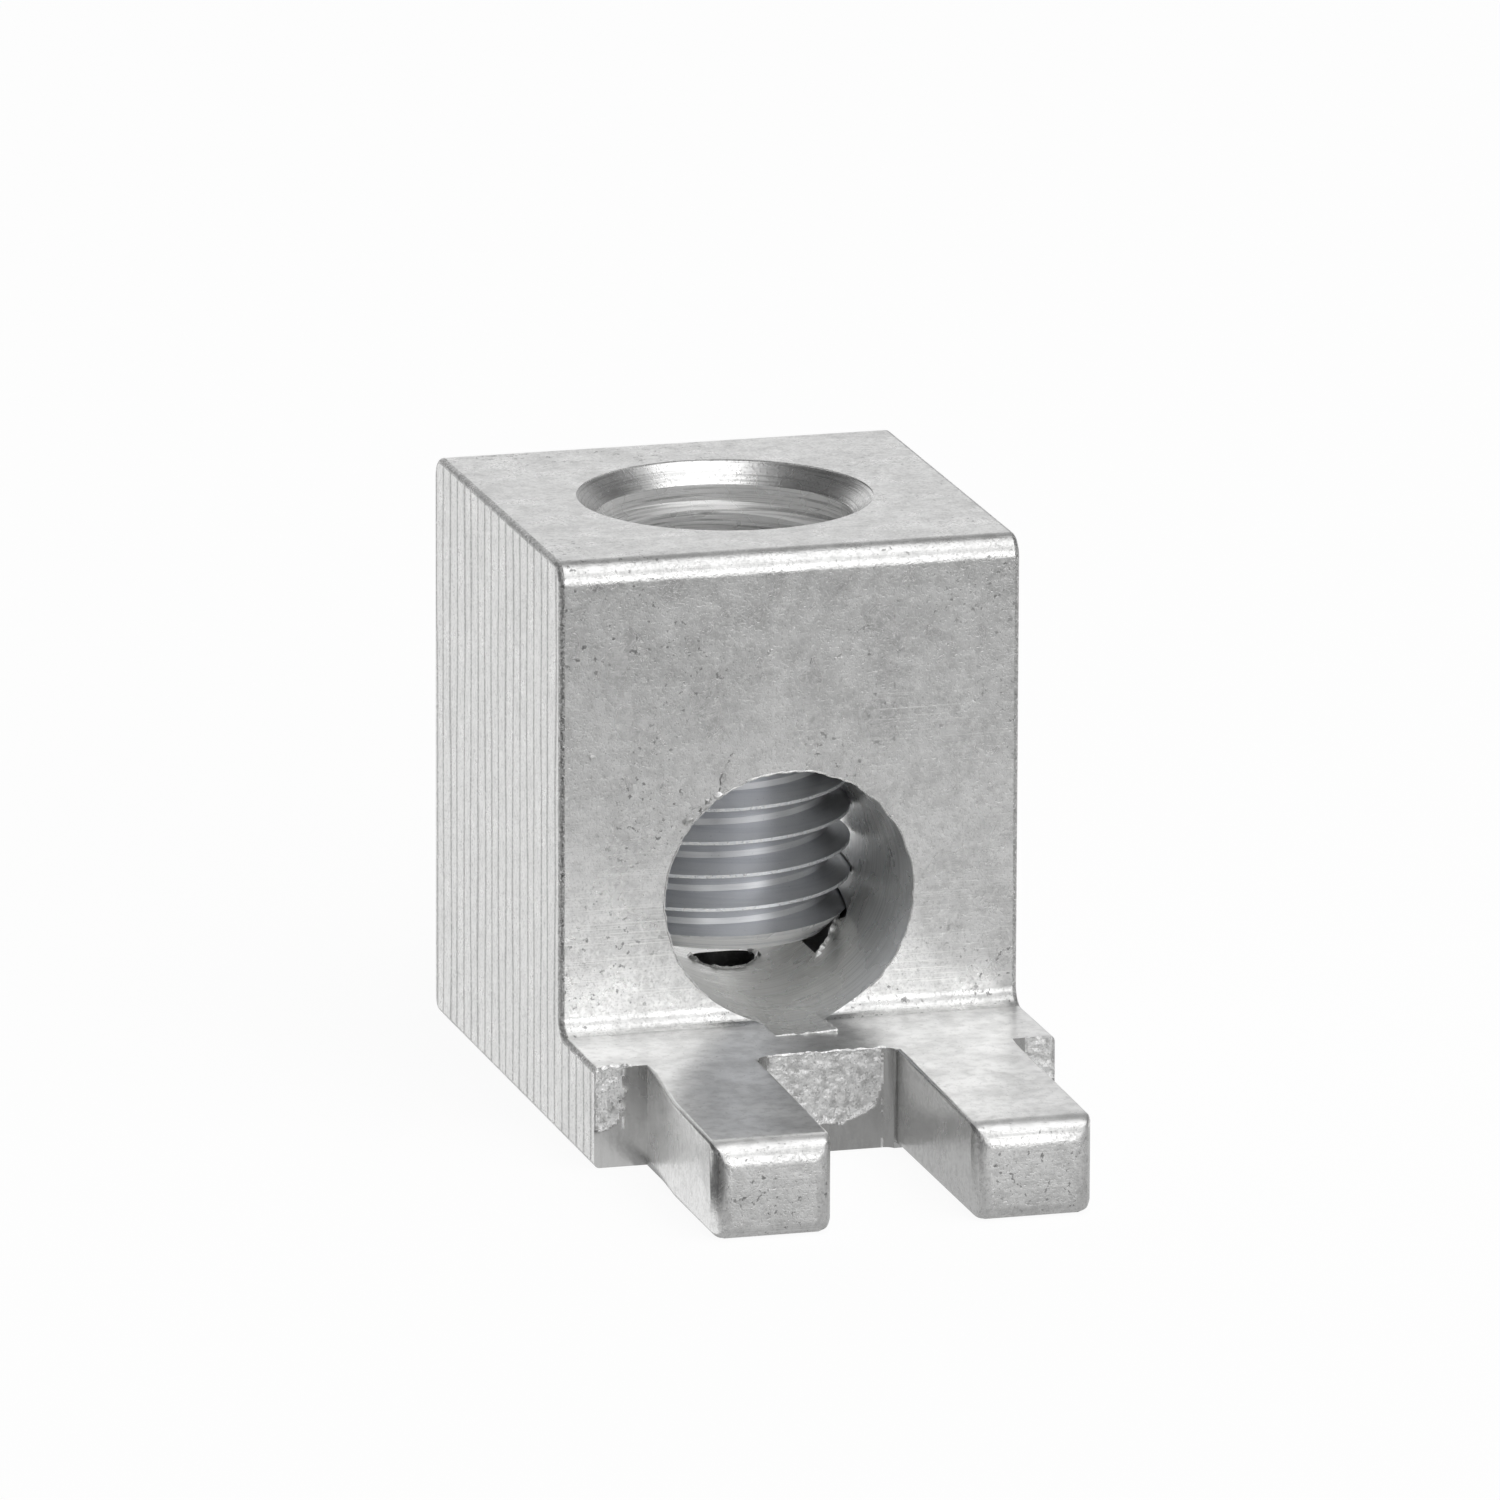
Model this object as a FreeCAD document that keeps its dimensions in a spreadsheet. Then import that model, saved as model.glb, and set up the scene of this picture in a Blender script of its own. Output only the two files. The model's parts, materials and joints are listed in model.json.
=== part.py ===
import FreeCAD, Part
import enum
import math
import os
import Sketcher

# Mechanical lug: an L-shaped extruded block with a cross-drilled wire bore, a punched two-prong
# foot, and a set screw that comes down through the top to clamp the wire. Millimetres.
#
# Frame: the origin is on the base face under the set screw's axis. +Z points up along that axis,
# -Y points along the foot towards the prong tips, and +X runs along the length of the extrusion.

NODE_FOLDER = "parts"
EDGE_TOLERANCE = 1e-4
MIN_CUT_VOLUME = 0.01
FULL_TURN = 360.0
QUARTER_TURN = math.pi / 2


class At(enum.IntEnum):
    """Points of a sketch curve, as the sketcher numbers them."""

    START = 1
    END = 2
    CENTRE = 3


class Axis(enum.IntEnum):
    """A sketch's own axes, as the sketcher numbers them; ACROSS also carries the origin point."""

    ACROSS = -1
    UP = -2


# Driving dimensions: alias, value and what the value sizes.
DIMENSIONS = [
    ("block_width", 14.6, "sawn length of the extrusion, across the prongs"),
    ("block_depth", 14.9, "front face to back face of the block"),
    ("block_height", 17.9, "base to top face"),
    ("foot_thickness", 3.15, "thickness of the foot and its prongs"),
    ("shoulder_reach", 4.05, "front face to the punched shoulders"),
    ("prong_reach", 12.8, "front face to the prong tips"),
    ("prong_width", 3.75, "width of one prong"),
    ("prong_gap", 4.4, "clear slot between the prongs"),
    ("crown_radius", 0.7, "rounding of the block's top front and top back edges"),
    ("heel_radius", 0.5, "rounding of the block's bottom back edge"),
    ("root_radius", 0.55, "fillet where the foot leaves the front face"),
    ("tip_top_radius", 0.7, "rounding along the top of the prong tips"),
    ("tip_bottom_radius", 0.35, "rounding along the bottom of the prong tips"),
    ("tip_corner_radius", 0.6, "upright corners of the prong tips"),
    ("punch_corner_radius", 0.4, "inner corners left by the punch"),
    ("wire_radius", 3.97, "radius of the wire bore"),
    ("groove_depth", 0.12, "depth that the wire drill scores into the foot's top"),
    ("groove_reach", 1.9, "front face to the end of that score"),
    ("drill_radius", 3.52, "tap drill, which leaves the crests of the hole's thread"),
    ("countersink_radius", 4.59, "mouth of the 45 degree countersink"),
    ("ledge_height", 0.7, "lowest line of the wire bore to the tap drill's flat bottom"),
    ("pilot_radius", 0.9, "radius of the drill's pilot nose"),
    ("pilot_depth", 0.75, "straight part of the pilot's hole below the wire bore"),
    ("pilot_point", 0.5, "height of the pilot's conical end"),
    ("screw_clearance", 0.05, "radial running clearance of the screw"),
    ("screw_length", 9.5, "overall length of the set screw"),
    ("screw_gap", 0.5, "tap drill's flat bottom to the end of the screw"),
    ("screw_end_radius", 3.17, "flat end that clamps the wire, inside a 45 degree chamfer"),
    ("screw_top_chamfer", 0.3, "45 degree chamfer at the driven end"),
    ("driver_slot_width", 1.3, "width of the screwdriver slot"),
    ("driver_slot_depth", 2.0, "depth of the screwdriver slot"),
    ("cut_margin", 1.0, "how far a cut runs past the metal"),
]

# Places that follow from the driving dimensions, as formulas of the sheet.
SHOULDER_PLACE = "(dims.block_depth / 2 + dims.shoulder_reach)"
TIP_PLACE = "(dims.block_depth / 2 + dims.prong_reach)"
WASTE_PLACE = "(dims.block_depth / 2 + dims.prong_reach + dims.cut_margin)"
WASTE_SIDE = "(dims.block_width / 2 + dims.cut_margin)"
PRONG_INNER = "(dims.prong_gap / 2)"
PRONG_OUTER = "(dims.prong_gap / 2 + dims.prong_width)"
BORE_FLOOR = "(dims.foot_thickness - dims.groove_depth)"
BORE_AXIS = "(dims.foot_thickness - dims.groove_depth + dims.wire_radius)"
DRILL_BOTTOM = "(dims.foot_thickness - dims.groove_depth + dims.ledge_height)"
PILOT_SHOULDER = "(dims.foot_thickness - dims.groove_depth - dims.pilot_depth)"
PILOT_TIP = "(dims.foot_thickness - dims.groove_depth - dims.pilot_depth - dims.pilot_point)"
COUNTERSINK_FOOT = "(dims.block_height - dims.countersink_radius + dims.drill_radius)"
ABOVE_BLOCK = "(dims.block_height + dims.cut_margin)"
SCREW_RADIUS = "(dims.drill_radius - dims.screw_clearance)"
SCREW_END = "(%s + dims.screw_gap)" % DRILL_BOTTOM
SCREW_TOP = "(%s + dims.screw_gap + dims.screw_length)" % DRILL_BOTTOM
END_CHAMFER_TOP = "(%s + %s - dims.screw_end_radius)" % (SCREW_END, SCREW_RADIUS)
TOP_CHAMFER_FOOT = "(%s - dims.screw_top_chamfer)" % SCREW_TOP
TOP_FLAT_RADIUS = "(%s - dims.screw_top_chamfer)" % SCREW_RADIUS
SLOT_SIDE = "(dims.driver_slot_width / 2)"
SLOT_END = "(dims.drill_radius + dims.cut_margin)"


class Sizes:
    """The sheet of driving dimensions, and the worth of a formula of its cells."""

    def __init__(self, doc):
        self.sheet = doc.addObject("Spreadsheet::Sheet", "dims")
        for row, (alias, value, meaning) in enumerate(DIMENSIONS, start=1):
            self.sheet.set("A%d" % row, alias)
            self.sheet.set("B%d" % row, str(value))
            self.sheet.set("C%d" % row, meaning)
            self.sheet.setAlias("B%d" % row, alias)
        doc.recompute()

    def worth(self, formula):
        """Return a formula as a plain number, from the cells as they stand."""
        return float(self.sheet.evalExpression(formula))


class Outline:
    """A sketch on one of a body's origin planes, drawn as closed outlines bound to the sheet."""

    def __init__(self, sizes, body, name, plane_role, offset=None):
        self.sizes = sizes
        self.sketch = body.newObject("Sketcher::SketchObject", name)
        self.sketch.AttachmentSupport = [(origin_plane(body, plane_role), "")]
        self.sketch.MapMode = "FlatFace"
        if offset:
            self.sketch.setExpression("AttachmentOffset.Base.z", offset)

    def constrain(self, kind, *details):
        """Add one constraint to the sketch."""
        self.sketch.addConstraint(Sketcher.Constraint(kind, *details))

    def bind(self, kind, details, formula, name):
        """Add a dimension to the sketch and bind it to a formula of the sheet."""
        self.constrain(kind, *details, self.sizes.worth(formula))
        index = self.sketch.ConstraintCount - 1
        self.sketch.renameConstraint(index, name)
        self.sketch.setExpression("Constraints." + name, formula)

    def line(self, start, end):
        """Draw a line between two points; it is level or upright where they say so."""
        self.sketch.addGeometry(Part.LineSegment(flat(start), flat(end)), False)
        index = self.sketch.GeometryCount - 1
        if abs(start[1] - end[1]) < EDGE_TOLERANCE:
            self.constrain("Horizontal", index)
        elif abs(start[0] - end[0]) < EDGE_TOLERANCE:
            self.constrain("Vertical", index)
        return index

    def quarter_arc(self, centre, radius_formula, first_quarter, name):
        """Draw a counter-clockwise quarter arc with its radius bound to a formula."""
        circle = Part.Circle(flat(centre), FreeCAD.Vector(0, 0, 1), self.sizes.worth(radius_formula))
        start_angle = first_quarter * QUARTER_TURN
        self.sketch.addGeometry(Part.ArcOfCircle(circle, start_angle, start_angle + QUARTER_TURN), False)
        index = self.sketch.GeometryCount - 1
        self.bind("Radius", (index,), radius_formula, name)
        return index

    def polygon(self, points):
        """Draw a closed polygon through the points and return its lines in order."""
        lines = [self.line(start, end) for start, end in zip(points, points[1:] + points[:1])]
        for line, following in zip(lines, lines[1:] + lines[:1]):
            self.constrain("Coincident", line, At.END, following, At.START)
        return lines

    def place(self, curve, end, across, up, name):
        """Hold one end of a curve at a formula across and a formula up from the origin."""
        if across == "0":
            self.constrain("PointOnObject", curve, end, Axis.UP)
        elif across:
            self.bind("DistanceX", (Axis.ACROSS, At.START, curve, end), across, name + "_across")
        if up == "0":
            self.constrain("PointOnObject", curve, end, Axis.ACROSS)
        elif up:
            self.bind("DistanceY", (Axis.ACROSS, At.START, curve, end), up, name + "_up")

    def points(self, *pairs):
        """Turn pairs of formulas into points of plain numbers."""
        return [(self.sizes.worth(across), self.sizes.worth(up)) for across, up in pairs]


def flat(point):
    """Return a point of the sketch as a vector."""
    return FreeCAD.Vector(point[0], point[1], 0)


def origin_plane(body, role):
    """Return one of the body's own origin planes by its role."""
    for feature in body.Origin.OriginFeatures:
        if feature.Role == role:
            return feature
    raise RuntimeError("no origin plane " + role)


def edges_along_x(shape, y, z):
    """Name the straight edges that run along X at one place in the section."""
    names = []
    for index, edge in enumerate(shape.Edges, start=1):
        ends = [vertex.Point for vertex in edge.Vertexes]
        near = all(abs(p.y - y) < EDGE_TOLERANCE and abs(p.z - z) < EDGE_TOLERANCE for p in ends)
        if near and len(ends) == 2:
            names.append("Edge%d" % index)
    return names


def round_edges(sizes, body, base, name, places, radius_formula):
    """Round the edges along X at the given places of the section."""
    edges = []
    for y_formula, z_formula in places:
        edges += edges_along_x(base.Shape, sizes.worth(y_formula), sizes.worth(z_formula))
    if len(edges) != len(places):
        raise RuntimeError("edges not found for " + name)
    fillet = body.newObject("PartDesign::Fillet", name)
    fillet.Base = (base, edges)
    fillet.setExpression("Radius", radius_formula)
    body.Document.recompute()
    return fillet


def finish_cut(body, feature):
    """Recompute a feature that cuts, and make sure that it took metal away."""
    before = body.Shape.Volume
    body.Document.recompute()
    if before - feature.Shape.Volume < MIN_CUT_VOLUME:
        raise RuntimeError(feature.Label + " cut nothing")


def extrude_section(sizes, body):
    """Extrude the L-shaped section of block and foot across the width."""
    tip = "-" + TIP_PLACE
    front = "-dims.block_depth / 2"
    back = "dims.block_depth / 2"
    outline = Outline(sizes, body, "section_outline", "YZ_Plane")
    corners = outline.points(
        (tip, "0"),
        (back, "0"),
        (back, "dims.block_height"),
        (front, "dims.block_height"),
        (front, "dims.foot_thickness"),
        (tip, "dims.foot_thickness"),
    )
    base_line, _, top_line, _, foot_line, _ = outline.polygon(corners)
    outline.place(base_line, At.START, tip, "0", "tip")
    outline.place(top_line, At.START, back, "dims.block_height", "back")
    outline.place(foot_line, At.START, front, "dims.foot_thickness", "front")
    pad = body.newObject("PartDesign::Pad", "section")
    pad.Profile = outline.sketch
    pad.Midplane = True
    pad.setExpression("Length", "dims.block_width")
    body.Document.recompute()

    crown_places = [(front, "dims.block_height"), (back, "dims.block_height")]
    crown = round_edges(sizes, body, pad, "crown", crown_places, "dims.crown_radius")
    heel = round_edges(sizes, body, crown, "heel", [(back, "0")], "dims.heel_radius")
    root = round_edges(sizes, body, heel, "root", [(front, "dims.foot_thickness")], "dims.root_radius")
    tip_place = [(tip, "dims.foot_thickness")]
    tip_top = round_edges(sizes, body, root, "tip_top", tip_place, "dims.tip_top_radius")
    round_edges(sizes, body, tip_top, "tip_bottom", [(tip, "0")], "dims.tip_bottom_radius")


def half_outline(sizes, body, name, side_formula, direction, closing_formula):
    """Draw the waste on one side of a prong, from the shoulders to past the tip.

    The prong's side is at side_formula; direction is 1 where the waste lies on its +X side and -1
    where it lies on its -X side, and the waste ends at closing_formula.
    """
    side = sizes.worth(side_formula)
    closing = sizes.worth(closing_formula)
    shoulder = -sizes.worth(SHOULDER_PLACE)
    tip = -sizes.worth(TIP_PLACE)
    waste = -sizes.worth(WASTE_PLACE)
    inner = sizes.worth("dims.punch_corner_radius")
    corner = sizes.worth("dims.tip_corner_radius")
    outline = Outline(sizes, body, name, "XY_Plane")

    shoulder_line = outline.line((closing, shoulder), (side + direction * inner, shoulder))
    inner_quarter = 1 if direction > 0 else 0
    inner_centre = (side + direction * inner, shoulder - inner)
    inner_arc = outline.quarter_arc(inner_centre, "dims.punch_corner_radius", inner_quarter, "inner")
    side_line = outline.line((side, shoulder - inner), (side, tip + corner))
    tip_quarter = 3 if direction > 0 else 2
    tip_centre = (side - direction * corner, tip + corner)
    tip_arc = outline.quarter_arc(tip_centre, "dims.tip_corner_radius", tip_quarter, "corner")
    drop_line = outline.line((side - direction * corner, tip), (side - direction * corner, waste))
    waste_line = outline.line((side - direction * corner, waste), (closing, waste))
    closing_line = outline.line((closing, waste), (closing, shoulder))

    # The inner arc meets the shoulder at its upright end, and the tip arc meets the side at its
    # level end; which end number that is depends on the side of the prong.
    inner_first, inner_last = (At.START, At.END) if direction > 0 else (At.END, At.START)
    tip_first, tip_last = (At.END, At.START) if direction > 0 else (At.START, At.END)
    outline.constrain("Tangent", shoulder_line, At.END, inner_arc, inner_first)
    outline.constrain("Tangent", inner_arc, inner_last, side_line, At.START)
    outline.constrain("Tangent", side_line, At.END, tip_arc, tip_first)
    outline.constrain("Coincident", tip_arc, tip_last, drop_line, At.START)
    outline.constrain("Vertical", tip_arc, At.CENTRE, tip_arc, tip_last)
    outline.constrain("Coincident", drop_line, At.END, waste_line, At.START)
    outline.constrain("Coincident", waste_line, At.END, closing_line, At.START)
    outline.constrain("Coincident", closing_line, At.END, shoulder_line, At.START)

    outline.place(shoulder_line, At.START, closing_formula, "-" + SHOULDER_PLACE, "shoulder")
    outline.place(side_line, At.START, side_formula, None, "side")
    outline.place(drop_line, At.START, None, "-" + TIP_PLACE, "tip")
    outline.place(drop_line, At.END, None, "-" + WASTE_PLACE, "waste")
    return outline


def punch_foot(sizes, body):
    """Punch the slot between the prongs and the notch outside each prong."""
    halves = [
        ("slot", PRONG_INNER, -1, "0"),
        ("notch", PRONG_OUTER, 1, WASTE_SIDE),
    ]
    for name, side_formula, direction, closing_formula in halves:
        outline = half_outline(sizes, body, name + "_outline", side_formula, direction, closing_formula)
        pocket = body.newObject("PartDesign::Pocket", name)
        pocket.Profile = outline.sketch
        pocket.Type = "ThroughAll"
        pocket.Reversed = True
        finish_cut(body, pocket)
        mirrored = body.newObject("PartDesign::Mirrored", name + "_pair")
        mirrored.Originals = [pocket]
        mirrored.MirrorPlane = (origin_plane(body, "YZ_Plane"), [""])
        body.Tip = mirrored
        before = pocket.Shape.Volume
        body.Document.recompute()
        if before - mirrored.Shape.Volume < MIN_CUT_VOLUME:
            raise RuntimeError(name + " was not mirrored")


def drill_wire_bore(sizes, body):
    """Drill the wire bore from in front of the block, scoring the foot, and out of the back."""
    start_place = "dims.block_depth / 2 + dims.groove_reach"
    outline = Outline(sizes, body, "wire_bore_outline", "XZ_Plane", start_place)
    height = sizes.worth(BORE_AXIS)
    circle = Part.Circle(flat((0, height)), FreeCAD.Vector(0, 0, 1), sizes.worth("dims.wire_radius"))
    outline.sketch.addGeometry(circle, False)
    outline.bind("Radius", (0,), "dims.wire_radius", "bore")
    outline.place(0, At.CENTRE, "0", BORE_AXIS, "bore_axis")
    pocket = body.newObject("PartDesign::Pocket", "wire_bore")
    pocket.Profile = outline.sketch
    pocket.Type = "ThroughAll"
    finish_cut(body, pocket)


def tap_screw_hole(sizes, body):
    """Turn out the countersink, the tapped hole, its flat drill bottom and the pilot's hole."""
    outline = Outline(sizes, body, "tapped_hole_outline", "XZ_Plane")
    corners = outline.points(
        ("0", PILOT_TIP),
        ("dims.pilot_radius", PILOT_SHOULDER),
        ("dims.pilot_radius", DRILL_BOTTOM),
        ("dims.drill_radius", DRILL_BOTTOM),
        ("dims.drill_radius", COUNTERSINK_FOOT),
        ("dims.countersink_radius", "dims.block_height"),
        ("dims.countersink_radius", ABOVE_BLOCK),
        ("0", ABOVE_BLOCK),
    )
    lines = outline.polygon(corners)
    outline.place(lines[0], At.START, "0", PILOT_TIP, "pilot_tip")
    outline.place(lines[1], At.START, "dims.pilot_radius", PILOT_SHOULDER, "pilot")
    outline.place(lines[2], At.START, None, DRILL_BOTTOM, "drill_bottom")
    outline.place(lines[3], At.START, "dims.drill_radius", None, "thread")
    outline.place(lines[4], At.START, None, COUNTERSINK_FOOT, "countersink_foot")
    outline.place(lines[5], At.START, "dims.countersink_radius", "dims.block_height", "mouth")
    outline.place(lines[6], At.START, None, ABOVE_BLOCK, "above")
    turn_outline(body, outline, "PartDesign::Groove", "tapped_hole")


def turn_outline(body, outline, kind, name):
    """Turn an outline right round the sketch's upright axis, adding or cutting metal."""
    feature = body.newObject(kind, name)
    feature.Profile = outline.sketch
    feature.ReferenceAxis = (outline.sketch, ["V_Axis"])
    feature.Angle = FULL_TURN
    if kind == "PartDesign::Groove":
        finish_cut(body, feature)
    else:
        body.Document.recompute()
    return feature


def build_lug_body(doc, sizes):
    """Build the block with its foot, bores and countersink: one piece of extrusion."""
    body = doc.addObject("PartDesign::Body", "lug_body")
    body.Label = "lug_body"
    extrude_section(sizes, body)
    punch_foot(sizes, body)
    drill_wire_bore(sizes, body)
    tap_screw_hole(sizes, body)
    return body


def build_set_screw(doc, sizes):
    """Build the slotted set screw, run down to just above the floor of its hole."""
    body = doc.addObject("PartDesign::Body", "set_screw")
    body.Label = "set_screw"
    outline = Outline(sizes, body, "screw_outline", "XZ_Plane")
    corners = outline.points(
        ("0", SCREW_END),
        ("dims.screw_end_radius", SCREW_END),
        (SCREW_RADIUS, END_CHAMFER_TOP),
        (SCREW_RADIUS, TOP_CHAMFER_FOOT),
        (TOP_FLAT_RADIUS, SCREW_TOP),
        ("0", SCREW_TOP),
    )
    lines = outline.polygon(corners)
    outline.place(lines[0], At.START, "0", SCREW_END, "end")
    outline.place(lines[1], At.START, "dims.screw_end_radius", None, "end_flat")
    outline.place(lines[2], At.START, SCREW_RADIUS, END_CHAMFER_TOP, "end_chamfer")
    outline.place(lines[3], At.START, None, TOP_CHAMFER_FOOT, "top_chamfer")
    outline.place(lines[4], At.START, TOP_FLAT_RADIUS, SCREW_TOP, "top_flat")
    turn_outline(body, outline, "PartDesign::Revolution", "screw_blank")

    slot_outline = Outline(sizes, body, "driver_slot_outline", "XY_Plane", SCREW_TOP)
    side = sizes.worth(SLOT_SIDE)
    end = sizes.worth(SLOT_END)
    bottom, right, top, left = slot_outline.polygon([(-end, -side), (end, -side), (end, side), (-end, side)])
    slot_outline.place(bottom, At.START, "-" + SLOT_END, "-" + SLOT_SIDE, "first")
    slot_outline.place(top, At.START, SLOT_END, SLOT_SIDE, "last")
    slot = body.newObject("PartDesign::Pocket", "driver_slot")
    slot.Profile = slot_outline.sketch
    slot.setExpression("Length", "dims.driver_slot_depth")
    finish_cut(body, slot)
    return body


def check_document(doc, bodies):
    """Stop if any object failed or any piece is not one valid solid."""
    for item in doc.Objects:
        if "Invalid" in item.State or "Error" in item.State:
            raise RuntimeError("failed object: %s %s" % (item.Name, item.State))
    for body in bodies:
        shape = body.Shape
        if shape.isNull() or not shape.isValid() or len(shape.Solids) != 1:
            raise RuntimeError("bad shape: " + body.Label)


def main():
    """Build both pieces and write one file for each."""
    doc = FreeCAD.newDocument("mechanical_lug")
    sizes = Sizes(doc)
    bodies = [build_lug_body(doc, sizes), build_set_screw(doc, sizes)]
    for body in bodies:
        body.Placement = FreeCAD.Placement()
    doc.recompute()
    check_document(doc, bodies)
    os.makedirs(NODE_FOLDER, exist_ok=True)
    for body in bodies:
        body.Shape.exportStep(os.path.join(NODE_FOLDER, body.Label + ".step"))
        print(body.Label, "volume", round(body.Shape.Volume, 3), body.Shape.BoundBox)


main()
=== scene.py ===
"""Dress the mechanical lug: an extruded aluminium block with a wire bore, prongs and a set screw."""

import enum
import json
import logging
import math
from dataclasses import dataclass
from typing import ClassVar

import bmesh
import bpy
from mathutils import Matrix, Vector, noise


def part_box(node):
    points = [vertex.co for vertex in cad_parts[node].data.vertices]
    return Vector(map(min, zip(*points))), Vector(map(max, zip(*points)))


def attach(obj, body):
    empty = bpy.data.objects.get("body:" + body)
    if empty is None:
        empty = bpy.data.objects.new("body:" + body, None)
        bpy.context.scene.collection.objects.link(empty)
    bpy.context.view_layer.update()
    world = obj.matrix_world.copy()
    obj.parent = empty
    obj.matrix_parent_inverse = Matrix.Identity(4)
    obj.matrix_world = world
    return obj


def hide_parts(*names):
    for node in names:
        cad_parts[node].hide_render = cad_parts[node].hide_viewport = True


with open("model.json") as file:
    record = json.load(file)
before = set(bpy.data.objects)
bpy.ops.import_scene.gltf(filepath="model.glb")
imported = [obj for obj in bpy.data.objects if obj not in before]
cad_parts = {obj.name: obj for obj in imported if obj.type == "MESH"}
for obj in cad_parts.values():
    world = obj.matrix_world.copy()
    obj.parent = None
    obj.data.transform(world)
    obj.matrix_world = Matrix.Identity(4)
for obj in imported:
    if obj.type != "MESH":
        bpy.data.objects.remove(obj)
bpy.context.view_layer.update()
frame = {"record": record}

LOG = logging.getLogger("mechanical_lug")
MM = 0.001
MICRON = 1e-6
FULL_TURN = 2 * math.pi
WELD = 1e-4
FLAT_CUT = 1e-6
PATTERN_SHIFT = 0.037
SQUARE_ON = 0.99
UPWARD = 0.9
LEANS = 0.1
CORNER_LEANS = 0.05

VECTOR_MATH = "ShaderNodeVectorMath"

RGB = tuple[float, float, float]
Point = tuple[float, float, float]
Input = float | Point | bpy.types.NodeSocket


class Grain(enum.Enum):
    """Which way a tool or a die drew its lines; the value stretches a pattern along that way."""

    ALONG_X = (1, 0, 0)
    ALONG_Z = (0, 0, 1)
    ROUND_Y = (1, 0, 1)
    ROUND_Z = (1, 1, 0)
    NONE = (0, 0, 0)

    def stretch(self, length: float) -> Point:
        """Return how a pattern is scaled so that its marks are length times as long as wide."""
        return tuple(1.0 / length if along else 1.0 for along in self.value)


class Cut(enum.Enum):
    """What is left of a piece once a cutter has met it."""

    AWAY = "DIFFERENCE"
    COMMON = "INTERSECT"


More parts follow.
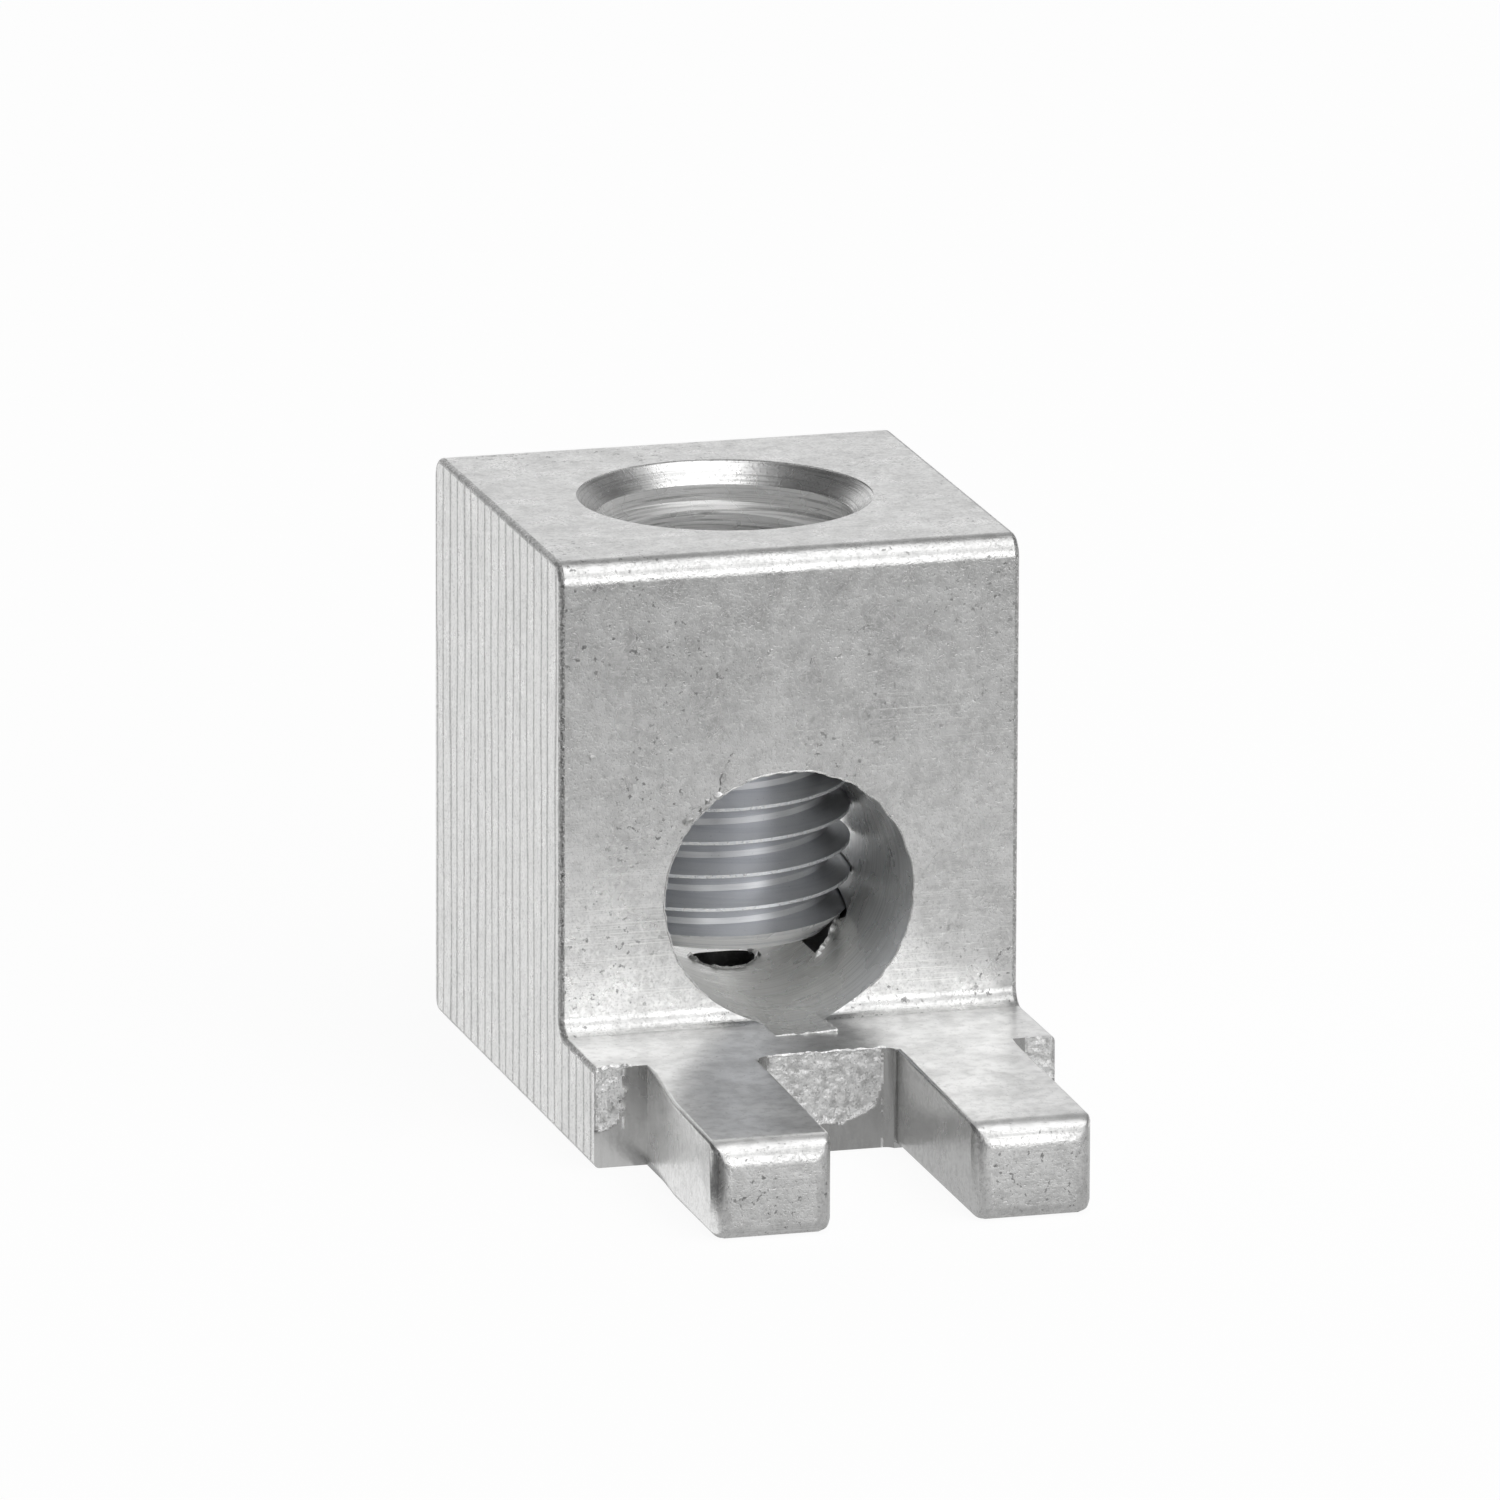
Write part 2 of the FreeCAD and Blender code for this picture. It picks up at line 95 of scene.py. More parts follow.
class Tones:
    """Node groups that more than one finish uses, built once and shared, and the steps of a node tree."""

    GRAIN_DETAIL = 3.0
    GRAIN_ROUGHNESS = 0.6
    PATCH_DETAIL = 1.0
    PATCH_REACH = (0.62, 0.42)
    SAW_WAVER_STRETCH = (0.0, 1.0, 0.12)
    SAW_WAVER_FINENESS = 900.0
    SAW_SWAY = 0.0006

    _made: dict[str, bpy.types.NodeTree] = {}

    @classmethod
    def marks(cls) -> bpy.types.NodeTree:
        """Return the group that turns stretched noise into a mask of marks, in patches or all over.

        Returns:
            The node group, made the first time and shared after that.
        """
        if "marks" in cls._made:
            return cls._made["marks"]
        tree = cls._new_group(
            "marks",
            inputs=[
                ("Vector", "NodeSocketVector"),
                ("Stretch", "NodeSocketVector"),
                ("Shift", "NodeSocketVector"),
                ("Fineness", "NodeSocketFloat"),
                ("Low", "NodeSocketFloat"),
                ("High", "NodeSocketFloat"),
                ("Patch Fineness", "NodeSocketFloat"),
                ("Patch Share", "NodeSocketFloat"),
            ],
            outputs=[("Mask", "NodeSocketFloat")],
        )
        entry = tree.nodes["entry"].outputs
        shifted = cls.step(tree, "ADD", entry["Vector"], entry["Shift"], kind=VECTOR_MATH)
        stretched = cls.step(tree, "MULTIPLY", shifted, entry["Stretch"], kind=VECTOR_MATH)
        grain = cls.cloud(tree, stretched, entry["Fineness"], cls.GRAIN_DETAIL, cls.GRAIN_ROUGHNESS)
        edge = cls.fade(tree, grain, (entry["Low"], entry["High"]))
        patches = cls.cloud(tree, shifted, entry["Patch Fineness"], cls.PATCH_DETAIL)
        missing = cls.step(tree, "MULTIPLY", cls.fade(tree, patches, cls.PATCH_REACH), entry["Patch Share"])
        mask = cls.step(tree, "MULTIPLY", edge, cls.step(tree, "SUBTRACT", 1.0, missing))
        tree.links.new(mask, tree.nodes["outlet"].inputs["Mask"])
        cls._made["marks"] = tree
        return tree

    @classmethod
    def saw_lines(cls) -> bpy.types.NodeTree:
        """Return the group that draws lines at one spacing along Y, as a saw's teeth leave them.

        Returns:
            The node group, made the first time and shared after that.
        """
        if "saw_lines" in cls._made:
            return cls._made["saw_lines"]
        tree = cls._new_group(
            "saw_lines",
            inputs=[
                ("Vector", "NodeSocketVector"),
                ("Spacing", "NodeSocketFloat"),
                ("Width", "NodeSocketFloat"),
            ],
            outputs=[("Mask", "NodeSocketFloat")],
        )
        entry = tree.nodes["entry"].outputs
        split = tree.nodes.new("ShaderNodeSeparateXYZ")
        tree.links.new(entry["Vector"], split.inputs["Vector"])
        flattened = cls.step(tree, "MULTIPLY", entry["Vector"], cls.SAW_WAVER_STRETCH, kind=VECTOR_MATH)
        waver = cls.cloud(tree, flattened, cls.SAW_WAVER_FINENESS)
        sway = cls.step(tree, "MULTIPLY", waver, cls.SAW_SWAY)
        place = cls.step(tree, "ADD", split.outputs["Y"], sway)
        turns = cls.step(tree, "DIVIDE", place, entry["Spacing"])
        wave = cls.step(tree, "PINGPONG", turns, 0.5)
        mask = cls.fade(tree, wave, (0.0, entry["Width"]), (1.0, 0.0))
        tree.links.new(mask, tree.nodes["outlet"].inputs["Mask"])
        cls._made["saw_lines"] = tree
        return tree

    @staticmethod
    def plug(tree: bpy.types.NodeTree, value: Input, socket: bpy.types.NodeSocket) -> None:
        """Feed an input socket from another socket, or set it to a number.

        Args:
            tree: the node tree.
            value: a number, a vector or a socket.
            socket: the input socket.
        """
        if isinstance(value, bpy.types.NodeSocket):
            tree.links.new(value, socket)
        else:
            socket.default_value = value

    @classmethod
    def step(
        cls, tree: bpy.types.NodeTree, operation: str, *values: Input, kind: str = "ShaderNodeMath"
    ) -> bpy.types.NodeSocket:
        """Add one step of arithmetic.

        Args:
            tree: the node tree.
            operation: the node's operation.
            values: its inputs in order, as numbers or sockets.
            kind: the node's type.

        Returns:
            The socket with the result.
        """
        node = tree.nodes.new(kind)
        node.operation = operation
        for socket, value in zip(node.inputs, values):
            cls.plug(tree, value, socket)
        return node.outputs[0]

    @classmethod
    def fade(
        cls,
        tree: bpy.types.NodeTree,
        value: Input,
        reach: tuple[Input, Input],
        tones: tuple[float, float] = (0.0, 1.0),
        smooth: bool = True,
    ) -> bpy.types.NodeSocket:
        """Add a change from one tone to another, level before and after it.

        Args:
            tree: the node tree.
            value: what the tone follows.
            reach: values at which the change starts and ends.
            tones: the tones there.
            smooth: whether it eases in and out.

        Returns:
            The socket with the tone.
        """
        node = tree.nodes.new("ShaderNodeMapRange")
        node.interpolation_type = "SMOOTHSTEP" if smooth else "LINEAR"
        names = ("Value", "From Min", "From Max", "To Min", "To Max")
        for name, item in zip(names, (value, *reach, *tones)):
            cls.plug(tree, item, node.inputs[name])
        return node.outputs["Result"]

    @classmethod
    def cloud(
        cls,
        tree: bpy.types.NodeTree,
        place: bpy.types.NodeSocket,
        fineness: Input,
        detail: float = 2.0,
        roughness: float = 0.5,
    ) -> bpy.types.NodeSocket:
        """Add noise.

        Args:
            tree: the node tree.
            place: the socket with the place on the surface.
            fineness: scale of the noise.
            detail: how many finer layers it has.
            roughness: how strong those are.

        Returns:
            The socket with the noise's value.
        """
        node = tree.nodes.new("ShaderNodeTexNoise")
        names = ("Vector", "Scale", "Detail", "Roughness")
        for name, item in zip(names, (place, fineness, detail, roughness)):
            cls.plug(tree, item, node.inputs[name])
        return node.outputs["Fac"]

    @staticmethod
    def _new_group(
        name: str, inputs: list[tuple[str, str]], outputs: list[tuple[str, str]]
    ) -> bpy.types.NodeTree:
        """Make an empty shader group with its sockets.

        Args:
            name: the group's name.
            inputs: name and socket type of each input.
            outputs: name and socket type of each output.

        Returns:
            The node tree, with nodes named entry and outlet.
        """
        tree = bpy.data.node_groups.new(name, "ShaderNodeTree")
        for label, kind in inputs:
            tree.interface.new_socket(name=label, in_out="INPUT", socket_type=kind)
        for label, kind in outputs:
            tree.interface.new_socket(name=label, in_out="OUTPUT", socket_type=kind)
        entry = tree.nodes.new("NodeGroupInput")
        entry.name = "entry"
        outlet = tree.nodes.new("NodeGroupOutput")
        outlet.name = "outlet"
        return tree


@dataclass(frozen=True)
class Marks:
    """One layer of marks on a metal.

    Attributes:
        colour: colour of the marks.
        share: how far a mark covers what lies under it, 0 to 1.
        width: how wide a mark is, in millimetres.
        length: how many times as long as wide a mark is.
        grain: which way the marks run.
        low: noise value at which a mark starts.
        high: noise value at which it is full.
        rise: height of a mark in microns, below zero for a scratch.
        patch: size of the patches that hold the marks in millimetres, or 0 for marks all over.
    """

    colour: RGB
    share: float
    width: float
    length: float = 1.0
    grain: Grain = Grain.NONE
    low: float = 0.35
    high: float = 0.65
    rise: float = 0.0
    patch: float = 0.0


@dataclass(frozen=True)
class MetalFinish:
    """One finish of bare or plated metal.

    Attributes:
        name: the material's name.
        base: colour of the metal between the marks.
        marks: layers of marks, from the lowest to the uppermost.
        roughness: lowest and highest roughness over the surface.
        drift: size of the patches over which the roughness changes, in millimetres.
        drift_reach: noise values at which the roughness is lowest and highest.
        saw_spacing: distance between saw lines in millimetres, or 0 for none.
        saw_colour: colour of a saw line.
        saw_share: how far a line covers the metal.
        saw_width: half a line's width as a share of the spacing.
        saw_rise: height of a line in microns.
        facet: size of torn facets in millimetres, or 0 for none.
        facet_rise: their height in microns.
        metallic: how far the surface mirrors rather than scatters light.
    """

    name: str
    base: RGB
    marks: tuple[Marks, ...] = ()
    roughness: tuple[float, float] = (0.32, 0.44)
    drift: float = 1.2
    drift_reach: tuple[float, float] = (0.35, 0.65)
    saw_spacing: float = 0.0
    saw_colour: RGB = (0.2, 0.2, 0.2)
    saw_share: float = 0.85
    saw_width: float = 0.17
    saw_rise: float = -22.0
    facet: float = 0.0
    facet_rise: float = 0.0
    metallic: float = 1.0

    def material(self) -> bpy.types.Material:
        """Return this finish as a material, making it the first time."""
        known = bpy.data.materials.get(self.name)
        return known if known else self._build()

    def _build(self) -> bpy.types.Material:
        """Lay out the material's nodes.

        Returns:
            The new material.
        """
        material = bpy.data.materials.new(self.name)
        material.use_nodes = True
        tree = material.node_tree
        nodes, links = tree.nodes, tree.links
        shader = nodes["Principled BSDF"]
        shader.inputs["Metallic"].default_value = self.metallic
        place = nodes.new("ShaderNodeTexCoord").outputs["Object"]

        tone: RGB | bpy.types.NodeSocket = self.base
        height: float | bpy.types.NodeSocket = 0.0
        if self.saw_spacing > 0:
            saw = nodes.new("ShaderNodeGroup")
            saw.node_tree = Tones.saw_lines()
            saw.inputs["Spacing"].default_value = self.saw_spacing * MM
            saw.inputs["Width"].default_value = self.saw_width
            links.new(place, saw.inputs["Vector"])
            tone = self._mix(tree, saw.outputs["Mask"], self.saw_share, tone, self.saw_colour)
            height = Tones.step(tree, "MULTIPLY", saw.outputs["Mask"], self.saw_rise)
        for index, layer in enumerate(self.marks):
            mask = self._mask(tree, place, layer, index)
            tone = self._mix(tree, mask, layer.share, tone, layer.colour)
            height = Tones.step(tree, "ADD", Tones.step(tree, "MULTIPLY", mask, layer.rise), height)
        if self.facet > 0:
            facets = nodes.new("ShaderNodeTexVoronoi")
            facets.inputs["Scale"].default_value = 1 / (self.facet * MM)
            links.new(place, facets.inputs["Vector"])
            lift = Tones.step(tree, "MULTIPLY", facets.outputs["Distance"], self.facet_rise)
            height = Tones.step(tree, "ADD", lift, height)
        links.new(tone, shader.inputs["Base Color"])

        drift = Tones.cloud(tree, place, 1 / (self.drift * MM))
        polish = Tones.fade(tree, drift, self.drift_reach, self.roughness, smooth=False)
        links.new(polish, shader.inputs["Roughness"])

        relief = nodes.new("ShaderNodeBump")
        relief.inputs["Distance"].default_value = MICRON
        links.new(height, relief.inputs["Height"])
        links.new(relief.outputs["Normal"], shader.inputs["Normal"])
        return material

    @staticmethod
    def _mask(
        tree: bpy.types.NodeTree, place: bpy.types.NodeSocket, layer: Marks, index: int
    ) -> bpy.types.NodeSocket:
        """Place the shared marks group with one layer's values.

        Args:
            tree: the material's node tree.
            place: the socket with the surface's place.
            layer: the marks.
            index: the layer's number, which shifts its pattern away from the others'.

        Returns:
            The socket with the mask.
        """
        group = tree.nodes.new("ShaderNodeGroup")
        group.node_tree = Tones.marks()
        tree.links.new(place, group.inputs["Vector"])
        shift = PATTERN_SHIFT * (index + 1)
        group.inputs["Stretch"].default_value = layer.grain.stretch(layer.length)
        group.inputs["Shift"].default_value = (shift, 2 * shift, 3 * shift)
        group.inputs["Fineness"].default_value = 1 / (layer.width * MM)
        group.inputs["Low"].default_value = layer.low
        group.inputs["High"].default_value = layer.high
        group.inputs["Patch Fineness"].default_value = 1 / (max(layer.patch, 1.0) * MM)
        group.inputs["Patch Share"].default_value = 1.0 if layer.patch > 0 else 0.0
        return group.outputs["Mask"]

    @staticmethod
    def _mix(
        tree: bpy.types.NodeTree,
        mask: bpy.types.NodeSocket,
        share: float,
        first: RGB | bpy.types.NodeSocket,
        second: RGB,
    ) -> bpy.types.NodeSocket:
        """Mix two colours by a mask.

        Args:
            tree: the material's node tree.
            mask: 0 gives the first colour and 1 the most of the second.
            share: the most of the second colour.
            first: a colour or a socket that gives one.
            second: a colour.

        Returns:
            The socket with the mixed colour.
        """
        mix = tree.nodes.new("ShaderNodeMix")
        mix.data_type = "RGBA"
        tree.links.new(Tones.step(tree, "MULTIPLY", mask, share), mix.inputs["Factor"])
        under = first if isinstance(first, bpy.types.NodeSocket) else (*first, 1.0)
        Tones.plug(tree, under, mix.inputs["A"])
        mix.inputs["B"].default_value = (*second, 1.0)
        return mix.outputs["Result"]


PALE: RGB = (0.93, 0.93, 0.92)
WHITE: RGB = (1.0, 1.0, 1.0)
GREY: RGB = (0.56, 0.56, 0.555)
DULL: RGB = (0.42, 0.42, 0.415)
PIT: RGB = (0.2, 0.2, 0.2)
BORE_GREY: RGB = (0.66, 0.67, 0.65)
BORE_DULL: RGB = (0.5, 0.51, 0.49)
STEEL: RGB = (0.58, 0.6, 0.64)
STEEL_PIT: RGB = (0.4, 0.42, 0.45)
STEEL_PALE: RGB = (0.9, 0.92, 0.96)
STEEL_RING: RGB = (0.66, 0.68, 0.7)
STEEL_DULL: RGB = (0.5, 0.52, 0.55)

EXTRUDED = MetalFinish(
    name="mill_finish_aluminium",
    base=(0.83, 0.83, 0.825),
    marks=(
        Marks(GREY, 0.4, width=1.6, low=0.38, high=0.66, rise=-4.0),
        Marks(GREY, 0.5, width=0.4, low=0.4, high=0.68, rise=-2.0),
        Marks(PALE, 0.6, width=0.2, low=0.48, high=0.7, rise=1.0),
        Marks(DULL, 0.4, width=0.09, low=0.46, high=0.68, rise=-3.0),
        Marks(PALE, 0.9, width=0.026, length=160, grain=Grain.ALONG_X, low=0.6, high=0.64, patch=4.0),
        Marks(PIT, 0.8, width=0.2, low=0.62, high=0.67, rise=-1.0, patch=4.0),
        Marks(PIT, 0.6, width=0.08, low=0.66, high=0.72, rise=-2.0),
        Marks(WHITE, 1.0, width=0.06, low=0.67, high=0.7, rise=-1.0),
    ),
    roughness=(0.26, 0.34),
    metallic=0.92,
)
# The mill finish again on the foot's upward faces, lighter and less mirror-like than on the block, as
# painted light.
LIT_FOOT = MetalFinish(
    name="lit_foot_aluminium",
    base=(0.97, 0.97, 0.965),
    marks=(
        Marks(GREY, 0.4, width=1.2, low=0.38, high=0.66, rise=-3.0),
        Marks(GREY, 0.4, width=0.35, low=0.42, high=0.68, rise=-2.0),
        Marks(WHITE, 0.8, width=0.06, low=0.66, high=0.7, rise=-4.0),
        Marks(DULL, 0.6, width=0.09, low=0.62, high=0.7, rise=-4.0),
    ),
    roughness=(0.28, 0.36),
    metallic=0.8,
)
SAWN = MetalFinish(
    name="sawn_aluminium",
    base=(0.9, 0.9, 0.89),
    saw_spacing=0.83,
    marks=(
        Marks(GREY, 0.5, width=0.1, length=5, grain=Grain.ALONG_Z, low=0.42, high=0.68, rise=-2.0),
        Marks(PALE, 0.8, width=0.09, low=0.48, high=0.68, rise=4.0),
        Marks(DULL, 0.8, width=0.055, low=0.54, high=0.68, rise=-4.0),
        Marks(PIT, 0.6, width=0.1, low=0.66, high=0.73, rise=-6.0),
    ),
    roughness=(0.26, 0.36),
    metallic=0.92,
)
RAGGED = MetalFinish(
    name="ragged_aluminium",
    base=(0.62, 0.62, 0.615),
    marks=(
        Marks(DULL, 0.8, width=0.12, low=0.42, high=0.6, rise=-14.0),
        Marks(WHITE, 0.9, width=0.09, low=0.56, high=0.66, rise=16.0),
        Marks(PIT, 0.7, width=0.07, low=0.58, high=0.68, rise=-14.0),
    ),
    roughness=(0.26, 0.4),
)
# Wire bore: real boring marks on a base lighter and less mirror-like than the outside's, so that the bore's
# inside reads bright, painted light.
BORED_LIT = MetalFinish(
    name="bored_lit_aluminium",
    base=(1.0, 1.0, 0.985),
    marks=(
        Marks(BORE_GREY, 0.5, width=0.16, length=60, grain=Grain.ROUND_Y, low=0.4, high=0.68, rise=-0.5),
        Marks(BORE_DULL, 0.4, width=0.045, length=200, grain=Grain.ROUND_Y, low=0.48, high=0.68, rise=-0.5),
        Marks(WHITE, 0.6, width=0.035, length=150, grain=Grain.ROUND_Y, low=0.56, high=0.68, rise=0.5),
        Marks(WHITE, 1.0, width=0.06, length=1.6, grain=Grain.ROUND_Y, low=0.68, high=0.71, rise=3.0),
    ),
    roughness=(0.24, 0.32),
    metallic=0.66,
)
TURNED = MetalFinish(
    name="turned_aluminium",
    base=(0.97, 0.97, 0.965),
    marks=(
        Marks(DULL, 0.5, width=0.05, length=80, grain=Grain.ROUND_Z, low=0.46, high=0.66, rise=-2.0),
        Marks(GREY, 0.6, width=0.09, low=0.5, high=0.68, rise=-2.0),
        Marks(WHITE, 0.8, width=0.05, low=0.62, high=0.7, rise=2.0),
    ),
    roughness=(0.24, 0.32),
    metallic=0.97,
)
# Tapped thread: real tap marks on a base lighter and far less mirror-like than the outside's, so that the
# hole's wall reads bright, painted light.
TAPPED_LIT = MetalFinish(
    name="tapped_lit_aluminium",
    base=(0.98, 0.98, 0.975),
    marks=(
        Marks(GREY, 0.7, width=0.05, length=60, grain=Grain.ROUND_Z, low=0.45, high=0.64, rise=-2.0),
        Marks(DULL, 0.8, width=0.13, length=30, grain=Grain.ROUND_Z, low=0.54, high=0.64, rise=-3.0),
        Marks(WHITE, 0.8, width=0.05, low=0.62, high=0.68, rise=3.0),
    ),
    roughness=(0.24, 0.34),
    metallic=0.55,
)
SHEARED = MetalFinish(
    name="sheared_aluminium",
    base=(0.88, 0.88, 0.875),
    marks=(
        Marks(GREY, 0.2, width=0.1, length=9, grain=Grain.ALONG_Z, low=0.42, high=0.7, rise=-0.4),
        Marks(GREY, 0.5, width=0.3, low=0.46, high=0.7, rise=-1.0),
        Marks(PALE, 0.5, width=0.1, low=0.5, high=0.66, rise=2.0),
        Marks(DULL, 0.4, width=0.07, low=0.52, high=0.7, rise=-1.0),
    ),
    roughness=(0.2, 0.28),
    metallic=0.93,
)
# Burnished wall with its base darkened to about half the mill finish's as painted shade; it lines the
# punches' rounded corners and the untorn shoulder walls at the prongs' roots.
BURNISHED_SHADE = MetalFinish(
    name="burnished_shaded_aluminium",
    base=(0.5, 0.5, 0.495),
    marks=(
        Marks(DULL, 0.5, width=0.14, length=8, grain=Grain.ALONG_Z, low=0.42, high=0.68, rise=-1.0),
        Marks(GREY, 0.5, width=0.1, low=0.5, high=0.68, rise=1.0),
    ),
    roughness=(0.2, 0.28),
    metallic=0.95,
)
BURR = MetalFinish(
    name="burr_aluminium",
    base=(0.97, 0.97, 0.965),
    marks=(Marks(GREY, 0.6, width=0.07, low=0.45, high=0.62, rise=-4.0),),
    roughness=(0.26, 0.36),
    metallic=0.6,
)
SCORED = MetalFinish(
    name="scored_aluminium",
    base=(0.75, 0.75, 0.745),
    marks=(Marks(DULL, 0.6, width=0.08, low=0.42, high=0.6, rise=-2.0),),
    roughness=(0.3, 0.4),
    metallic=0.85,
)
# Painted shade: a near-black copy of the hole's aluminium, put on its walls below the wire bore's axis.
CAVITY_SHADE = MetalFinish(
    name="cavity_shade_aluminium",
    base=(0.17, 0.17, 0.17),
    marks=(Marks(DULL, 0.3, width=0.1, low=0.5, high=0.68, rise=2.0),),
    roughness=(0.3, 0.4),
    metallic=0.8,
)
TORN = MetalFinish(
    name="torn_aluminium",
    base=(0.9, 0.9, 0.895),
    marks=(
        Marks(DULL, 0.5, width=0.4, low=0.46, high=0.64, rise=-6.0),
        Marks(WHITE, 0.9, width=0.1, low=0.5, high=0.64, rise=6.0),
        Marks(DULL, 0.6, width=0.08, low=0.55, high=0.68, rise=-6.0),
    ),
    roughness=(0.34, 0.5),
    metallic=0.7,
    facet=0.1,
    facet_rise=14.0,
)
PLATED = MetalFinish(
    name="bright_plated_steel",
    base=(0.76, 0.77, 0.795),
    marks=(
        Marks(STEEL, 0.35, width=0.08, length=50, grain=Grain.ROUND_Z, low=0.42, high=0.7, rise=-0.6),
        Marks(STEEL_PIT, 0.6, width=0.07, low=0.66, high=0.72, rise=-1.0),
        Marks(STEEL_PALE, 0.4, width=0.07, low=0.6, high=0.74, rise=0.6),
    ),
    roughness=(0.32, 0.4),
    metallic=0.95,
)
# Screw's chamfered end: real turning rings on a white, mostly non-metallic copy of the steel, painted light
# that makes the end read bright.
TURNED_END_LIT = MetalFinish(
    name="turned_end_lit_steel",
    base=(1.0, 1.0, 1.0),
    marks=(
        Marks(STEEL_RING, 0.6, width=0.05, length=100, grain=Grain.ROUND_Z, low=0.45, high=0.66, rise=-1.5),
        Marks(WHITE, 0.6, width=0.08, low=0.56, high=0.72, rise=1.0),
    ),
    roughness=(0.24, 0.34),
    metallic=0.2,
)
# Thread crests: a lighter, less mirror-like copy of the plated steel with white flecks, painted highlight,
# over real nicks in the relief.
CREST_HIGHLIGHT = MetalFinish(
    name="thread_crest_highlight_steel",
    base=(0.9, 0.92, 0.95),
    marks=(
        Marks(WHITE, 0.9, width=0.12, low=0.46, high=0.6, rise=6.0),
        Marks(STEEL_DULL, 0.6, width=0.1, low=0.55, high=0.68, rise=-6.0),
    ),
    roughness=(0.24, 0.36),
    metallic=0.55,
)


EXTRUSION_SKINS = (EXTRUDED, SAWN, RAGGED, LIT_FOOT)
PUNCH_SKINS = (SHEARED, TORN, BURNISHED_SHADE)
DRILL_SKINS = (TURNED, TAPPED_LIT)
ROD_SKINS = (PLATED, CREST_HIGHLIGHT)


@dataclass(frozen=True)
class Strand:
    """A ragged line of metal that a tool raised, in millimetres.

    Attributes:
        points: places along its middle.
        thickness: radius at its usual places.
        jitter: quick sideways wander, as a share of the thickness.
        jitter_fineness: how quickly that changes.
        bend: slow sideways wander.
        bend_fineness: how slowly that changes.
        swell: how far the thickness comes and goes.
        swell_middle: its middle, as a share of the thickness.
        swell_least: its least, as a share of the thickness.
        swell_fineness: how quickly it changes.
    """

    points: tuple[Point, ...]
    thickness: float
    jitter: float = 0.5
    jitter_fineness: float = 9.0
    bend: float = 0.06
    bend_fineness: float = 2.7
    swell: float = 0.7
    swell_middle: float = 0.8
    swell_least: float = 0.2
    swell_fineness: float = 7.0


